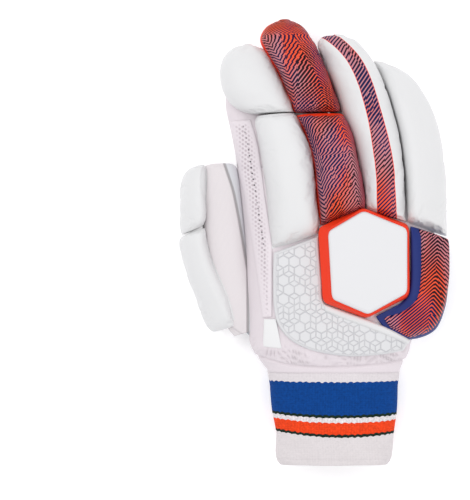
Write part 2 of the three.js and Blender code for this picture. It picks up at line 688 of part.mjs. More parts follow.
// Leather facings let into the palm
const stripSheet = flatSheet(palmStripCorners, 0.3, leatherThickness);
const stripGrown = flatSheet(palmStripCorners, 0.3, leatherThickness, clearance);
const patchSheet = flatSheet(thumbPatchCorners, 0.3, leatherThickness);
const patchGrown = flatSheet(thumbPatchCorners, 0.3, leatherThickness, clearance);
addPiece('palm_strip', stripSheet, 'leather');
addPiece('thumb_patch', patchSheet, 'leather');

// Hand, thumb stall and finger stalls
const thumbGrown = pad(thumbRows, { sides: stallSides, power: stallPower, grow: clearance });
const thumbSpace = pad(thumbRows, {
  sides: stallSides, power: stallPower, grow: -stallWall, floor: palmWall, head: -stallWall, tail: -stallWall,
});
const thumbOuter = pad(thumbRows, { sides: stallSides, power: stallPower, floor: 0 });
addPiece('hand_shell', cut(handOuter, handSpace(), thumbSpace, stripGrown, patchGrown), 'cloth');
const indexGrown = stallOuter(indexStallRows, clearance);
addPiece('thumb_stall', cut(thumbOuter, handGrown, indexGrown, thumbSpace, patchGrown), 'cloth');

const stalls = [
  ['stall_index', indexStallRows],
  ['stall_middle', middleStallRows],
  ['stall_ring', ringStallRows],
  ['stall_little', littleStallRows],
];
const stallsGrown = stalls.map(([, rows]) => stallOuter(rows, clearance));
stalls.forEach(([name, rows], i) => {
  const tools = [stallSpace(rows), handGrown, stripGrown, ...stallsGrown.slice(0, i)];
  addPiece(name, cut(stallOuter(rows), ...tools), 'cloth');
});

// Shield and side guard
const rimGrown = shieldRim(clearance);
addPiece('knuckle_shield_rim', cut(shieldRim(), handGrown), 'orange');
addPiece('knuckle_shield', shieldFace(), 'white');

const littleBody = pad(littleRows);
const littleGrown = pad(littleRows, { grow: clearance });
const guardRim = pad(sideRimRows);
const guardRimGrown = pad(sideRimRows, { grow: clearance });
addPiece('side_guard_rim', cut(guardRim, handGrown, rimGrown, littleGrown), 'blue');
addPiece('side_guard', cut(pad(guardFaceRows()), guardRimGrown, rimGrown, littleGrown, handGrown), 'navy');

// Finger rolls: each gives way to the hand, the stalls, the shield and the roll before it
const rolls = [
  ['little_roll', littleRows, 'white'],
  ['ring_roll', ringRows, 'white'],
  ['middle_roll_base', middleBaseRows, 'orange'],
  ['middle_roll_tip', middleTipRows, 'orange'],
  ['index_roll_base', indexBaseRows, 'white'],
  ['index_roll_tip', indexTipRows, 'white'],
];
const rollsGrown = rolls.map(([, rows]) => pad(rows, { grow: clearance }));
rolls.forEach(([name, rows, look], i) => {
  const earlier = rollsGrown.slice(0, i);
  addPiece(name, cut(pad(rows), handGrown, ...stallsGrown, rimGrown, ...earlier), look);
});

// Thumb guard in two lengths on the outer side of the thumb
addPiece('thumb_guard_tip', cut(pad(thumbGuardTipRows), thumbGrown, handGrown), 'white');
addPiece('thumb_guard_base', cut(pad(thumbGuardBaseRows), thumbGrown, handGrown), 'white');

// Sheets on the back of the hand
const weltGrown = drape(weltRows, 4, weltThickness, clearance);
const panelGrown = drape(panelRows, 7, panelThickness, clearance);
const guardFaceGrown = pad(guardFaceRows(), { grow: clearance });
const backTools = [handGrown, rimGrown, guardRimGrown, guardFaceGrown, ...rollsGrown];
addPiece('panel_welt', cut(drape(weltRows, 4, weltThickness), ...backTools), 'white');
addPiece('lattice_panel', cut(drape(panelRows, 7, panelThickness), weltGrown, ...backTools), 'white');
const gussetTools = [panelGrown, ...backTools, thumbGrown, stallsGrown[0]];
addPiece('side_gusset', cut(drape(gussetRows, 3, meshThickness), ...gussetTools), 'cloth');
addPiece('label_tag', cut(tagSheet(), panelGrown, ...backTools, thumbGrown), 'white');

// Knitted cuff and its strap
addPiece('cuff', cut(cuffTube(0, 0), cuffTube(knitWall, openReach)), 'cloth');
addPiece('wrist_strap', flatSheet(strapCorners, 0.15, strapThickness), 'white');

export default glove;
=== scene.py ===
# %% [markdown]
# A right-hand cricket batting glove lies palm down, fingers away from us along +Y and the thumb
# at -X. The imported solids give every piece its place. This lesson dresses them in their real
# surfaces: knitted cloth, synthetic leather over foam, printed stripes and a ribbed cuff.

# %% Load the frame
import bpy
import numpy as np
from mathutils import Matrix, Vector


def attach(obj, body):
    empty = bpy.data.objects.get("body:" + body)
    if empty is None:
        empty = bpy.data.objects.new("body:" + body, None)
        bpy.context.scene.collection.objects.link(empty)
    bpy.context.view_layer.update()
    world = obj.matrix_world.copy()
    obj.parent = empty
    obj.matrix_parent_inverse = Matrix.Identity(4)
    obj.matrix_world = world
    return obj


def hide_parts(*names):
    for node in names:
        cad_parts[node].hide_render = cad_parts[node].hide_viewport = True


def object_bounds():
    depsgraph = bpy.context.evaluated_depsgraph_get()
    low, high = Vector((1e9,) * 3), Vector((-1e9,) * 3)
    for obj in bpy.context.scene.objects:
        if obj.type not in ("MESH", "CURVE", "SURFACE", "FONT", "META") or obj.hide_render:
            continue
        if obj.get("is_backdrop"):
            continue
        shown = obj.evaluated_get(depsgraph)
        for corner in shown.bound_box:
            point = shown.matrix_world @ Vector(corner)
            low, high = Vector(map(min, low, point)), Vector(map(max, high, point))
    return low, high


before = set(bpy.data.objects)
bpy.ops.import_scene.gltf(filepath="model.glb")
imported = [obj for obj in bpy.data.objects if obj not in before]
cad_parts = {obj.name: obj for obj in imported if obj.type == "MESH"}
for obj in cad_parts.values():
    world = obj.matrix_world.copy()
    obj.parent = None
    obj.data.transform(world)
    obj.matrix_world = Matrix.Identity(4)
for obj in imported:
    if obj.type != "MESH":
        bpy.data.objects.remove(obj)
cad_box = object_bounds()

MM = 0.001
print("frame box in mm", np.round(np.array(cad_box) / MM, 1).tolist())

# %% [markdown]
# Most of a glove is lengths of padding laid side by side. Each one is drawn by a short table: a row
# gives the two edges of a section, as x, y and z, then how far the section rises over the line
# between them and sinks under it. The tables hold thousandths of three sizes, the glove's length,
# its width over the knuckles and its height, so one glove can be made larger without new tables.
# Flat pieces have only x and y, for both edges of a row or for each corner. A row of the cuff's
# table has its left and right edge, the share of the way down the cuff, and its upper side.

# %% Sizes and tables
GLOVE_LENGTH = 296.7 * MM
HAND_WIDTH = 133.3 * MM
KNUCKLE_HEIGHT = 60 * MM
GAP = 0.3 * MM
PLACE = np.array([HAND_WIDTH, GLOVE_LENGTH, KNUCKLE_HEIGHT])
UNITS = np.r_[PLACE, PLACE, KNUCKLE_HEIGHT, KNUCKLE_HEIGHT]


def table(*rows):
    """Rows given in thousandths, as shares: each number divided by 1000."""
    return np.array(rows) / 1000


INDEX_TIP = table(
    [-357, 443, 333, -312, 443, 333, 50, 50],
    [-412, 434, 333, -258, 434, 333, 150, 133],
    [-450, 416, 350, -228, 418, 350, 233, 167],
    [-468, 393, 367, -203, 396, 367, 283, 183],
    [-469, 366, 367, -172, 369, 400, 317, 183],
    [-453, 337, 383, -142, 339, 433, 325, 183],
    [-417, 312, 400, -122, 317, 467, 300, 183],
    [-367, 297, 433, -113, 301, 483, 267, 167],
    [-312, 289, 467, -107, 292, 500, 200, 100],
)
INDEX_BASE = table(
    [-287, 281, 500, -102, 287, 533, 208, 100],
    [-295, 270, 483, -85, 276, 533, 267, 167],
    [-287, 243, 483, -58, 249, 550, 300, 200],
    [-270, 198, 500, -22, 204, 583, 333, 200],
    [-253, 142, 533, -5, 151, 617, 342, 200],
    [-237, 85, 567, 5, 97, 667, 325, 200],
    [-228, 29, 600, 13, 56, 700, 300, 200],
    [-220, 0, 633, 14, 34, 733, 217, 167],
    [-217, -13, 650, 13, 22, 750, 83, 83],
)
MIDDLE_TIP = table(
    [-180, 498, 333, -123, 499, 333, 50, 50],
    [-240, 482, 333, -60, 483, 333, 167, 133],
    [-270, 455, 350, -7, 451, 350, 250, 167],
    [-240, 425, 367, 25, 422, 383, 300, 183],
    [-198, 389, 400, 58, 387, 417, 333, 183],
    [-158, 348, 433, 90, 348, 450, 350, 183],
    [-122, 315, 467, 115, 315, 483, 300, 183],
    [-110, 300, 483, 122, 302, 500, 258, 150],
    [-102, 292, 500, 122, 294, 517, 192, 83],
)
MIDDLE_BASE = table(
    [-92, 283, 533, 135, 287, 533, 192, 100],
    [-80, 272, 533, 150, 276, 550, 267, 167],
    [-50, 238, 550, 180, 245, 567, 317, 200],
    [-18, 187, 600, 207, 196, 600, 367, 217],
    [-3, 130, 633, 230, 142, 633, 367, 217],
    [10, 79, 667, 242, 101, 667, 333, 217],
    [18, 54, 700, 242, 84, 700, 250, 167],
    [22, 40, 717, 242, 76, 717, 117, 100],
)
RING = table(
    [92, 465, 333, 152, 463, 333, 50, 50],
    [40, 460, 333, 207, 451, 333, 167, 133],
    [15, 443, 350, 250, 429, 333, 250, 167],
    [43, 407, 367, 292, 402, 430, 260, 183],
    [83, 355, 417, 340, 353, 463, 293, 183],
    [128, 297, 467, 383, 294, 497, 310, 200],
    [177, 240, 533, 412, 236, 547, 318, 200],
    [212, 175, 583, 432, 171, 580, 327, 200],
    [235, 119, 633, 441, 110, 630, 310, 200],
    [245, 88, 667, 443, 66, 663, 243, 167],
    [249, 76, 683, 445, 49, 680, 135, 100],
)
LITTLE = table(
    [297, 407, 283, 347, 406, 283, 50, 50],
    [305, 398, 283, 412, 391, 283, 150, 117],
    [322, 375, 300, 482, 369, 283, 217, 150],
    [352, 342, 413, 537, 337, 300, 227, 167],
    [377, 308, 463, 578, 303, 317, 260, 183],
    [410, 249, 530, 618, 245, 333, 277, 200],
    [431, 187, 580, 642, 184, 350, 293, 217],
    [443, 119, 630, 652, 108, 367, 293, 233],
    [450, 70, 663, 656, 43, 383, 260, 217],
    [453, 54, 680, 657, 25, 383, 160, 167],
    [454, 47, 680, 657, 16, 383, 43, 83],
)
HAND = table(
    [-236, -284, 333, 424, -284, 333, 333, 350],
    [-284, -254, 317, 450, -254, 317, 383, 333],
    [-323, -213, 300, 487, -213, 300, 450, 317],
    [-338, -162, 283, 547, -162, 283, 500, 300],
    [-343, -106, 283, 588, -106, 283, 517, 300],
    [-343, -38, 283, 593, -38, 283, 517, 300],
    [-352, 29, 267, 598, 29, 267, 483, 283],
    [-372, 108, 250, 588, 108, 250, 400, 267],
    [-393, 169, 217, 578, 169, 217, 317, 233],
)
STALL_INDEX = table(
    [-383, 170, 217, -130, 170, 217, 255, 233],
    [-415, 245, 208, -163, 247, 208, 250, 225],
    [-443, 306, 200, -190, 315, 200, 217, 217],
    [-438, 362, 200, -210, 366, 200, 200, 217],
    [-417, 398, 200, -228, 398, 200, 183, 200],
    [-388, 420, 200, -263, 422, 200, 133, 150],
    [-343, 434, 200, -292, 435, 200, 50, 50],
)
STALL_MIDDLE = table(
    [-125, 170, 217, 107, 170, 217, 317, 233],
    [-158, 254, 208, 83, 254, 208, 267, 225],
    [-193, 344, 200, 43, 344, 200, 217, 217],
    [-223, 411, 200, -3, 411, 200, 200, 217],
    [-233, 452, 200, -52, 452, 200, 183, 200],
    [-212, 472, 200, -98, 474, 200, 133, 150],
    [-177, 481, 200, -133, 482, 200, 50, 50],
)
STALL_RING = table(
    [113, 170, 217, 345, 170, 217, 300, 233],
    [92, 254, 208, 328, 254, 208, 250, 225],
    [58, 333, 200, 292, 333, 200, 217, 217],
    [28, 400, 200, 242, 400, 200, 200, 217],
    [28, 434, 200, 198, 436, 200, 183, 200],
    [58, 448, 200, 158, 449, 200, 133, 150],
    [87, 456, 200, 128, 457, 200, 50, 50],
)
STALL_LITTLE = table(
    [350, 170, 200, 578, 170, 200, 283, 217],
    [338, 254, 192, 562, 249, 192, 217, 208],
    [328, 310, 183, 527, 310, 183, 200, 200],
    [312, 355, 183, 482, 355, 183, 183, 200],
    [312, 378, 183, 432, 379, 183, 133, 150],
    [338, 392, 183, 383, 393, 183, 50, 50],
)
THUMB = table(
    [-512, 178, 250, -427, 179, 250, 100, 100],
    [-552, 171, 250, -395, 173, 250, 200, 200],
    [-565, 146, 250, -378, 148, 250, 233, 267],
    [-565, 97, 250, -362, 97, 250, 250, 267],
    [-560, 40, 250, -347, 40, 250, 250, 267],
    [-550, -16, 250, -333, -16, 250, 250, 267],
    [-532, -72, 250, -312, -72, 250, 250, 267],
    [-502, -124, 250, -287, -119, 250, 250, 267],
    [-463, -173, 250, -263, -160, 250, 233, 267],
    [-403, -209, 250, -242, -187, 250, 200, 233],
)
THUMB_GUARD_TIP = table(
    [-598, 171, 283, -552, 174, 317, 117, 117],
    [-640, 160, 250, -542, 169, 350, 200, 183],
    [-668, 130, 233, -537, 144, 383, 233, 217],
    [-672, 85, 233, -542, 99, 400, 250, 217],
    [-672, 47, 233, -542, 65, 400, 242, 217],
    [-666, 29, 250, -547, 49, 383, 225, 183],
    [-662, 20, 283, -555, 40, 367, 175, 100],
)
THUMB_GUARD_BASE = table(
    [-667, 12, 283, -547, 33, 367, 175, 100],
    [-673, 2, 250, -543, 24, 383, 225, 183],
    [-665, -27, 233, -533, 0, 400, 242, 217],
    [-637, -72, 233, -507, -40, 400, 242, 217],
    [-605, -112, 233, -467, -83, 400, 242, 217],
    [-573, -151, 233, -428, -124, 400, 233, 217],
    [-540, -184, 250, -405, -160, 383, 200, 183],
    [-512, -199, 283, -395, -182, 367, 133, 100],
)
SIDE_RIM = table(
    [464, 36, 775, 662, 6, 367, 67, 100],
    [465, 18, 775, 667, -7, 350, 117, 167],
    [466, -27, 765, 669, -38, 333, 133, 183],
    [466, -76, 750, 667, -92, 317, 133, 183],
    [455, -112, 735, 650, -147, 317, 133, 183],
    [420, -132, 715, 598, -196, 333, 133, 183],
    [368, -145, 710, 487, -215, 433, 133, 183],
    [320, -156, 700, 400, -204, 550, 100, 150],
    [297, -162, 700, 355, -195, 600, 50, 83],
)
PANEL = table(
    [-207, -22, 13, 16], [-210, -56, 18, -27], [-210, -94, 28, -83], [-207, -137, 37, -130],
    [-188, -178, 92, -144], [-128, -213, 172, -160], [-18, -238, 253, -175], [152, -251, 333, -191],
    [318, -248, 407, -207], [438, -240, 463, -221],
)
WELT = table(
    [33, -133, 43, -151], [142, -151, 140, -169], [253, -169, 245, -187], [367, -191, 357, -207],
    [472, -216, 463, -226],
)
GUSSET = table(
    [-425, 272, -320, 276], [-402, 220, -287, 224], [-383, 160, -266, 164], [-357, 115, -254, 119],
    [-333, 47, -233, 52], [-312, -4, -217, 0], [-297, -49, -215, -43], [-278, -106, -215, -101],
    [-261, -166, -216, -164],
)
SHIELD_RIM_CORNERS = table(
    [229, 78], [10, 33], [33, -131], [247, -167], [464, -118], [459, 40],
)
SHIELD_FACE_CORNERS = table(
    [230, 73], [52, 26], [72, -125], [254, -160], [451, -112], [451, 33],
)
PALM_STRIP_CORNERS = table(
    [-343, 375], [-203, 375], [-182, 299], [-168, 209], [-177, 108], [-203, 34], [-237, 7],
    [-268, 38], [-302, 119], [-328, 209], [-343, 299],
)
THUMB_PATCH_CORNERS = table(
    [-427, -43], [-323, -7], [-193, -7], [-87, -43], [-52, -106], [-87, -182], [-188, -227],
    [-282, -229], [-357, -196], [-407, -128],
)
CUFF = table(
    [-238, 426, 0, 667], [-224, 414, 160, 665], [-213, 408, 440, 655], [-194, 394, 680, 640],
    [-196, 386, 860, 633], [-191, 380, 950, 628], [-172, 361, 1000, 618],
)
STRAP_CORNERS = table(
    [-88, -429], [12, -326], [340, -322], [330, -460], [-43, -474],
)
print("rows in the longest table:", max(len(rows) for rows in (HAND, RING, LITTLE, THUMB)))

# %% [markdown]
# A table has about ten rows, and a real roll is smooth. A Catmull-Rom curve passes through every row
# and bends gently between them. Each section is a superellipse, a circle pulled towards a box, which
# is how foam sits under tight leather.

# %% Sections and rings
def walked(points, axis=0):
    """The distance walked along one axis of a grid of points: the running sum of its steps, from 0."""
    steps = np.linalg.norm(np.diff(points, axis=axis), axis=-1)
    return np.cumsum(np.insert(steps, 0, 0, axis=axis), axis=axis)


def smooth(rows, count):
    """Catmull-Rom through the rows at `count` places. The places are even along the run of the section
    middles, and closer together at its ends, where a roll turns over."""
    solid_rows = rows.shape[1] == 8
    rows = rows * (UNITS if solid_rows else UNITS[[0, 1, 0, 1]])
    half_way = 3 if solid_rows else 2
    middle = (rows[:, :half_way] + rows[:, half_way : 2 * half_way]) / 2
    length = walked(middle)
    share = np.linspace(0, 1, count)
    share = share - 0.5 * np.sin(2 * np.pi * share) / (2 * np.pi)
    place = np.interp(share * length[-1], length, np.arange(len(rows)))
    i = np.clip(place.astype(int), 0, len(rows) - 2)
    t = (place - i)[:, None]
    ends = np.vstack([2 * rows[0] - rows[1], rows, 2 * rows[-1] - rows[-2]])
    p0, p1, p2, p3 = (ends[i + k] for k in range(4))
    cubic = (3 * p1 - p0 - 3 * p2 + p3) * t**3 + (2 * p0 - 5 * p1 + 4 * p2 - p3) * t**2
    return 0.5 * (2 * p1 + (p2 - p0) * t + cubic)


def squared(value, power):
    """A cosine or sine pulled towards a box: its sign times its size to the power of 2 / power."""
    return np.sign(value) * np.abs(value) ** (2 / power)


def rings(sections, sides, power, grow=0.0, floor=-1.0):
    """One closed outline per section: the chord times a squared cosine, plus the rise or the sink times
    a squared sine. It starts underneath, goes up the right side and comes down the left."""
    turn = np.linspace(-0.5 * np.pi, 1.5 * np.pi, sides, endpoint=False)
    across, up = squared(np.cos(turn), power), squared(np.sin(turn), power)
    middle = (sections[:, :3] + sections[:, 3:6]) / 2
    half = (sections[:, 3:6] - sections[:, :3]) / 2
    reach = np.linalg.norm(half, axis=1, keepdims=True)
    half = half * np.maximum(reach + grow, 0.2 * MM) / reach
    depth = np.maximum(np.where(up > 0, sections[:, 6:7], sections[:, 7:8]) + grow, 0.2 * MM)
    grid = middle[:, None] + half[:, None] * across[None, :, None]
    grid[..., 2] = np.maximum(grid[..., 2] + depth * up, floor)
    return grid


def lay_of(grid):
    """Distance along the piece, and distance round it from its ridge, positive to the right."""
    along, round_it = walked(grid.mean(1)), walked(grid, 1)
    ridge = round_it[:, grid.shape[1] // 2][:, None]
    return np.stack([np.broadcast_to(along[:, None], round_it.shape), ridge - round_it], axis=2)


def normals(grid):
    """The outward unit normal at every point: the cross product of the steps round and along."""
    around = np.roll(grid, -1, 1) - np.roll(grid, 1, 1)
    normal = np.cross(around, np.gradient(grid, axis=0))
    outward = (normal * (grid - grid.mean(1, keepdims=True))).sum()
    return normal * np.sign(outward) / np.maximum(np.linalg.norm(normal, axis=2, keepdims=True), 1e-12)


# %% [markdown]
# Every mesh here is a grid of points, so one function joins a grid into faces. It closes the ends
# with a pole, measures the volume to see which way the faces point, and keeps the lay of the cloth
# on each point, so that a weave or a print can follow the piece.

# %% From grids to meshes
def quads(index):
    """The faces of a grid of point numbers whose columns close on themselves."""
    beside = np.roll(index, -1, axis=1)
    return np.stack([index[:-1], beside[:-1], beside[1:], index[1:]], axis=2).reshape(-1, 4)


def fan(ring, pole):
    """Triangles from one ring of point numbers to a pole."""
    return np.stack([np.roll(ring, -1), ring, np.full_like(ring, pole)], axis=1)


def volume(points, faces):
    """The signed volume under all faces, as corner fans from the origin."""
    a, b, c = (points[faces[:, k]] for k in (0, 1, 2))
    total = np.einsum("ij,ij->", a, np.cross(b, c))
    if faces.shape[1] == 4:
        d = points[faces[:, 3]]
        total += np.einsum("ij,ij->", a, np.cross(c, d))
    return total


def meshed(name, points, faces):
    """A mesh of points and faces."""
    mesh = bpy.data.meshes.new(name)
    mesh.from_pydata(points, [], faces)
    return mesh


def placed(name, data):
    """An object that shows a mesh, a light or a camera, put into the scene."""
    thing = bpy.data.objects.new(name, data)
    bpy.context.scene.collection.objects.link(thing)
    return thing


def make(name, points, face_sets, lays, finish, node):
    """Builds the mesh, turns its faces outwards, hangs the piece on the root body and hides the CAD part it
    stands for.
    """
    if sum(volume(points, faces) for faces in face_sets) < 0:
        face_sets = [faces[:, ::-1] for faces in face_sets]
    mesh = meshed(name, points.tolist(), [face for faces in face_sets for face in faces.tolist()])
    for layer, values in lays.items():
        flat = np.zeros((len(points), 3))
        flat[: len(values), : values.shape[1]] = values
        mesh.attributes.new(layer, "FLOAT_VECTOR", "POINT").data.foreach_set("vector", flat.ravel())
    mesh.shade_smooth()
    mesh.materials.append(finish.material)
    piece = placed(name, mesh)
    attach(piece, "root")
    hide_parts(node)
    size = (points.max(0) - points.min(0)) / MM
    print(f"{name}: {len(points)} points, {size[0]:.0f} x {size[1]:.0f} x {size[2]:.0f} mm")
    return piece


def domed(grid, reach=1.0 * MM, steps=6):
    """Adds a dome to each end: rings that shrink by the cosine and move out by the sine of an angle."""
    turn = np.linspace(0, 0.5 * np.pi, steps + 1)[1:, None, None]
    caps = []
    for ring, behind in ((grid[0], grid[1]), (grid[-1], grid[-2])):
        middle = ring.mean(0)
        run = (middle - behind.mean(0)) / np.linalg.norm(middle - behind.mean(0))
        caps.append(middle + (ring - middle) * np.maximum(np.cos(turn), 0.02) + run * reach * np.sin(turn))
    return np.concatenate([caps[0][::-1], grid, caps[1]])


def closed(name, grid, finish, node, lays=None):
    """A grid of rings closed by a pole at the middle of each end ring."""
    count, sides = grid.shape[:2]
    index = np.arange(count * sides).reshape(count, sides)
    points = np.vstack([grid.reshape(-1, 3), grid[[0, -1]].mean(1)])
    ends = np.vstack([fan(index[0], len(points) - 2), fan(index[-1], len(points) - 1)[:, ::-1]])
    values = {}
    for layer, value in {"lay": lay_of(grid), **(lays or {})}.items():
        flat = value.reshape(-1, value.shape[2])
        values[layer] = np.vstack([flat, value[0].mean(0), value[-1].mean(0)])
    return make(name, points, [quads(index), ends], values, finish, node)


def on_both(lays):
    """Each layer's values on the points of the outer grid, and once more for the inner grid."""
    flat = {layer: value.reshape(-1, value.shape[2]) for layer, value in lays.items()}
    return {layer: np.vstack([value, value]) for layer, value in flat.items()}


def hollow(name, outer, inner, finish, node, open_far=False, lays=None):
    """Two grids, one inside the other, joined by a rim at the near end and at the far end if it is
    open. A far end that isn't open closes with a pole on each wall."""
    count, sides = outer.shape[:2]
    index = np.arange(count * sides).reshape(count, sides)
    inside = index + count * sides
    points = np.vstack([outer.reshape(-1, 3), inner.reshape(-1, 3)])
    walls = [quads(index), quads(inside)[:, ::-1], quads(np.vstack([inside[0], index[0]]))]
    sets = [np.vstack(walls)]
    if open_far:
        sets[0] = np.vstack([sets[0], quads(np.vstack([index[-1], inside[-1]]))])
    else:
        poles = np.vstack([outer[-1].mean(0), inner[-1].mean(0)])
        points = np.vstack([points, poles])
        sets.append(np.vstack([fan(index[-1], len(points) - 2)[:, ::-1], fan(inside[-1], len(points) - 1)]))
    return make(name, points, sets, on_both({"lay": lay_of(outer), **(lays or {})}), finish, node)


def slab(name, top, under, finish, node, lays=None):
    """An open sheet: a top grid and an underside grid, joined all round their edge."""
    count, across = top.shape[:2]
    index = np.arange(count * across).reshape(count, across)
    below = index + count * across
    face = lambda i: np.stack([i[:-1, :-1], i[:-1, 1:], i[1:, 1:], i[1:, :-1]], axis=2).reshape(-1, 4)
    edge = np.r_[index[0], index[1:, -1], index[-1, -2::-1], index[-2:0:-1, 0]]
    rim = np.stack([edge, edge + count * across, np.roll(edge, -1) + count * across, np.roll(edge, -1)], 1)
    points = np.vstack([top.reshape(-1, 3), under.reshape(-1, 3)])
    side = walked(top, 1)
    along = np.broadcast_to(walked(top.mean(1))[:, None], side.shape)
    values = on_both({"lay": np.stack([along, side], axis=2), **(lays or {})})
    faces = np.vstack([face(index), face(below)[:, ::-1], rim])
    return make(name, points, [faces], values, finish, node)


# %% [markdown]
# The rolls sit on the finger stalls and the shield, panel and tag lie on the back of the hand, so
# their undersides follow what carries them. The height of a padded length under any place comes
# straight from its sections: find the section level with that place, then its superellipse.

# %% What lies underneath
STALL_POWER = 2.6
HAND_POWER = 2.7
ROLL_POWER = 2.55


def top_of(rows, power, x, y):
    """Height of a length's upper side: middle height plus rise times (1 - |offset / reach|^p)^(1/p)."""
    fine = smooth(rows, 160)
    middle = (fine[:, :3] + fine[:, 3:6]) / 2
    order = np.argsort(middle[:, 1])
    at = lambda values: np.interp(y, middle[order, 1], values[order])
    reach = np.maximum(at((fine[:, 3] - fine[:, 0]) / 2), 0.1 * MM)
    offset = np.abs((x - at(middle[:, 0])) / reach)
    lift = np.clip(1 - offset**power, 0, 1) ** (1 / power)
    height = at(middle[:, 2]) + at(fine[:, 6]) * lift
    inside = (offset < 1) & (y > middle[order[0], 1] - 1 * MM) & (y < middle[order[-1], 1] + 1 * MM)
    return np.where(inside, height, -1.0)


def seat(grid, carriers, thin=0.0):
    """Lifts the underside of a roll clear of the lengths that carry it, and its upper side too if it
    would be thinner than `thin`."""
    sides = grid.shape[1]
    under = np.zeros(sides, dtype=bool)
    under[np.r_[0 : sides // 4 + 1, 3 * sides // 4 : sides]] = True
    spare = np.where(under, GAP, GAP + thin)
    for rows, power in carriers:
        carried = top_of(rows, power, grid[..., 0], grid[..., 1]) + spare
        if not thin:
            carried = np.where(under, carried, -1.0)
        grid[..., 2] = np.maximum(grid[..., 2], carried)
    return grid


def waves(lay, directions, seed):
    """A soft random unevenness: a sum of sines over the lay, each (waves per metre along, across)."""
    phases = np.random.default_rng(seed).uniform(0, 2 * np.pi, len(directions))
    lines = [a * lay[..., 0] + b * lay[..., 1] for a, b in directions]
    return np.mean([np.sin(2 * np.pi * line + phase) for line, phase in zip(lines, phases)], axis=0)


SOFT_WAVES = [(9, 5), (14, -11), (22, 17), (31, -8), (17, 29)]
print("back of the hand at its middle:", round(float(top_of(HAND, HAND_POWER, 0.015, -0.03)) / MM, 1), "mm")

# %% [markdown]
# Some places were read off a picture taken from above, so a pixel is a line of sight from the
# camera. One function takes a pixel to the place where its line meets a given height. The camera
# uses the same values later, so both always agree.

# %% From the picture to the table
CAMERA_HEIGHT = 1.85
SUBJECT_HEIGHT = 0.016
PIXEL = 2 / 3 * MM
PICTURE_ORIGIN = np.array([314.5, 243.0])
CAMERA_PIXEL = np.array([235.0, 250.0])
FLIP = np.array([1, -1])


def plan(pixels, height=0.05):
    """Pixels to x and y in metres: their distance from the camera's foot shrinks as the place rises."""
    foot = (CAMERA_PIXEL - PICTURE_ORIGIN) * FLIP * PIXEL
    reach = (np.array(pixels, dtype=float) - CAMERA_PIXEL) * FLIP * PIXEL
    return foot + reach * (CAMERA_HEIGHT - height) / (CAMERA_HEIGHT - SUBJECT_HEIGHT)


def x_on(line, y):
    """The x of a line of (x, y) points at each y, its corners rounded by a running mean. Past its ends
    the line runs straight on."""
    line = line[np.argsort(line[:, 1])]
    near, far = line[0] * 2 - line[1], line[-1] * 2 - line[-2]
    line = np.vstack([near, line, far])
    even = np.linspace(line[0, 1], line[-1, 1], 121)
    x = np.interp(even, line[:, 1], line[:, 0])
    for _ in range(3):
        x[5:-5] = np.convolve(x, np.full(11, 1 / 11), mode="valid")
    return np.interp(y, even, x)


print("the picture's corner lies at", np.round(plan([0, 0], 0) / MM, 1), "mm")

# %% [markdown]
# A finish is a network of nodes. Writing one as sums keeps it readable: a Wire is one socket, and
# adding or comparing wires adds the Math node that does it. A Finish holds one material, and its
# node() method makes every other kind of node.

# %% Wires and finishes
class Wire:
    """One output socket that can be used in sums. Each operator adds a Math node."""

    def __init__(self, finish, socket):
        self.finish, self.socket = finish, socket

    def math(self, operation, *values):
        """A Math node on any wires or numbers."""
        return self.finish.node("ShaderNodeMath", dict(enumerate(values)), operation=operation)

    def wrap(self, low, high):
        """The wire folded into the range from low to high."""
        return self.math("WRAP", self, high, low)


OPERATORS = {"add": "ADD", "sub": "SUBTRACT", "mul": "MULTIPLY", "truediv": "DIVIDE", "pow": "POWER"}
for sign, kind in OPERATORS.items():
    setattr(Wire, f"__{sign}__", lambda self, other, kind=kind: self.math(kind, self, other))
    setattr(Wire, f"__r{sign}__", lambda self, other, kind=kind: self.math(kind, other, self))
NAMED = {"__abs__": "ABSOLUTE", "sine": "SINE", "floor": "FLOOR", "part": "FRACT", "most": "MAXIMUM",
         "__lt__": "LESS_THAN", "__gt__": "GREATER_THAN"}
for name, kind in NAMED.items():
    setattr(Wire, name, lambda self, *other, kind=kind: self.math(kind, self, *other))


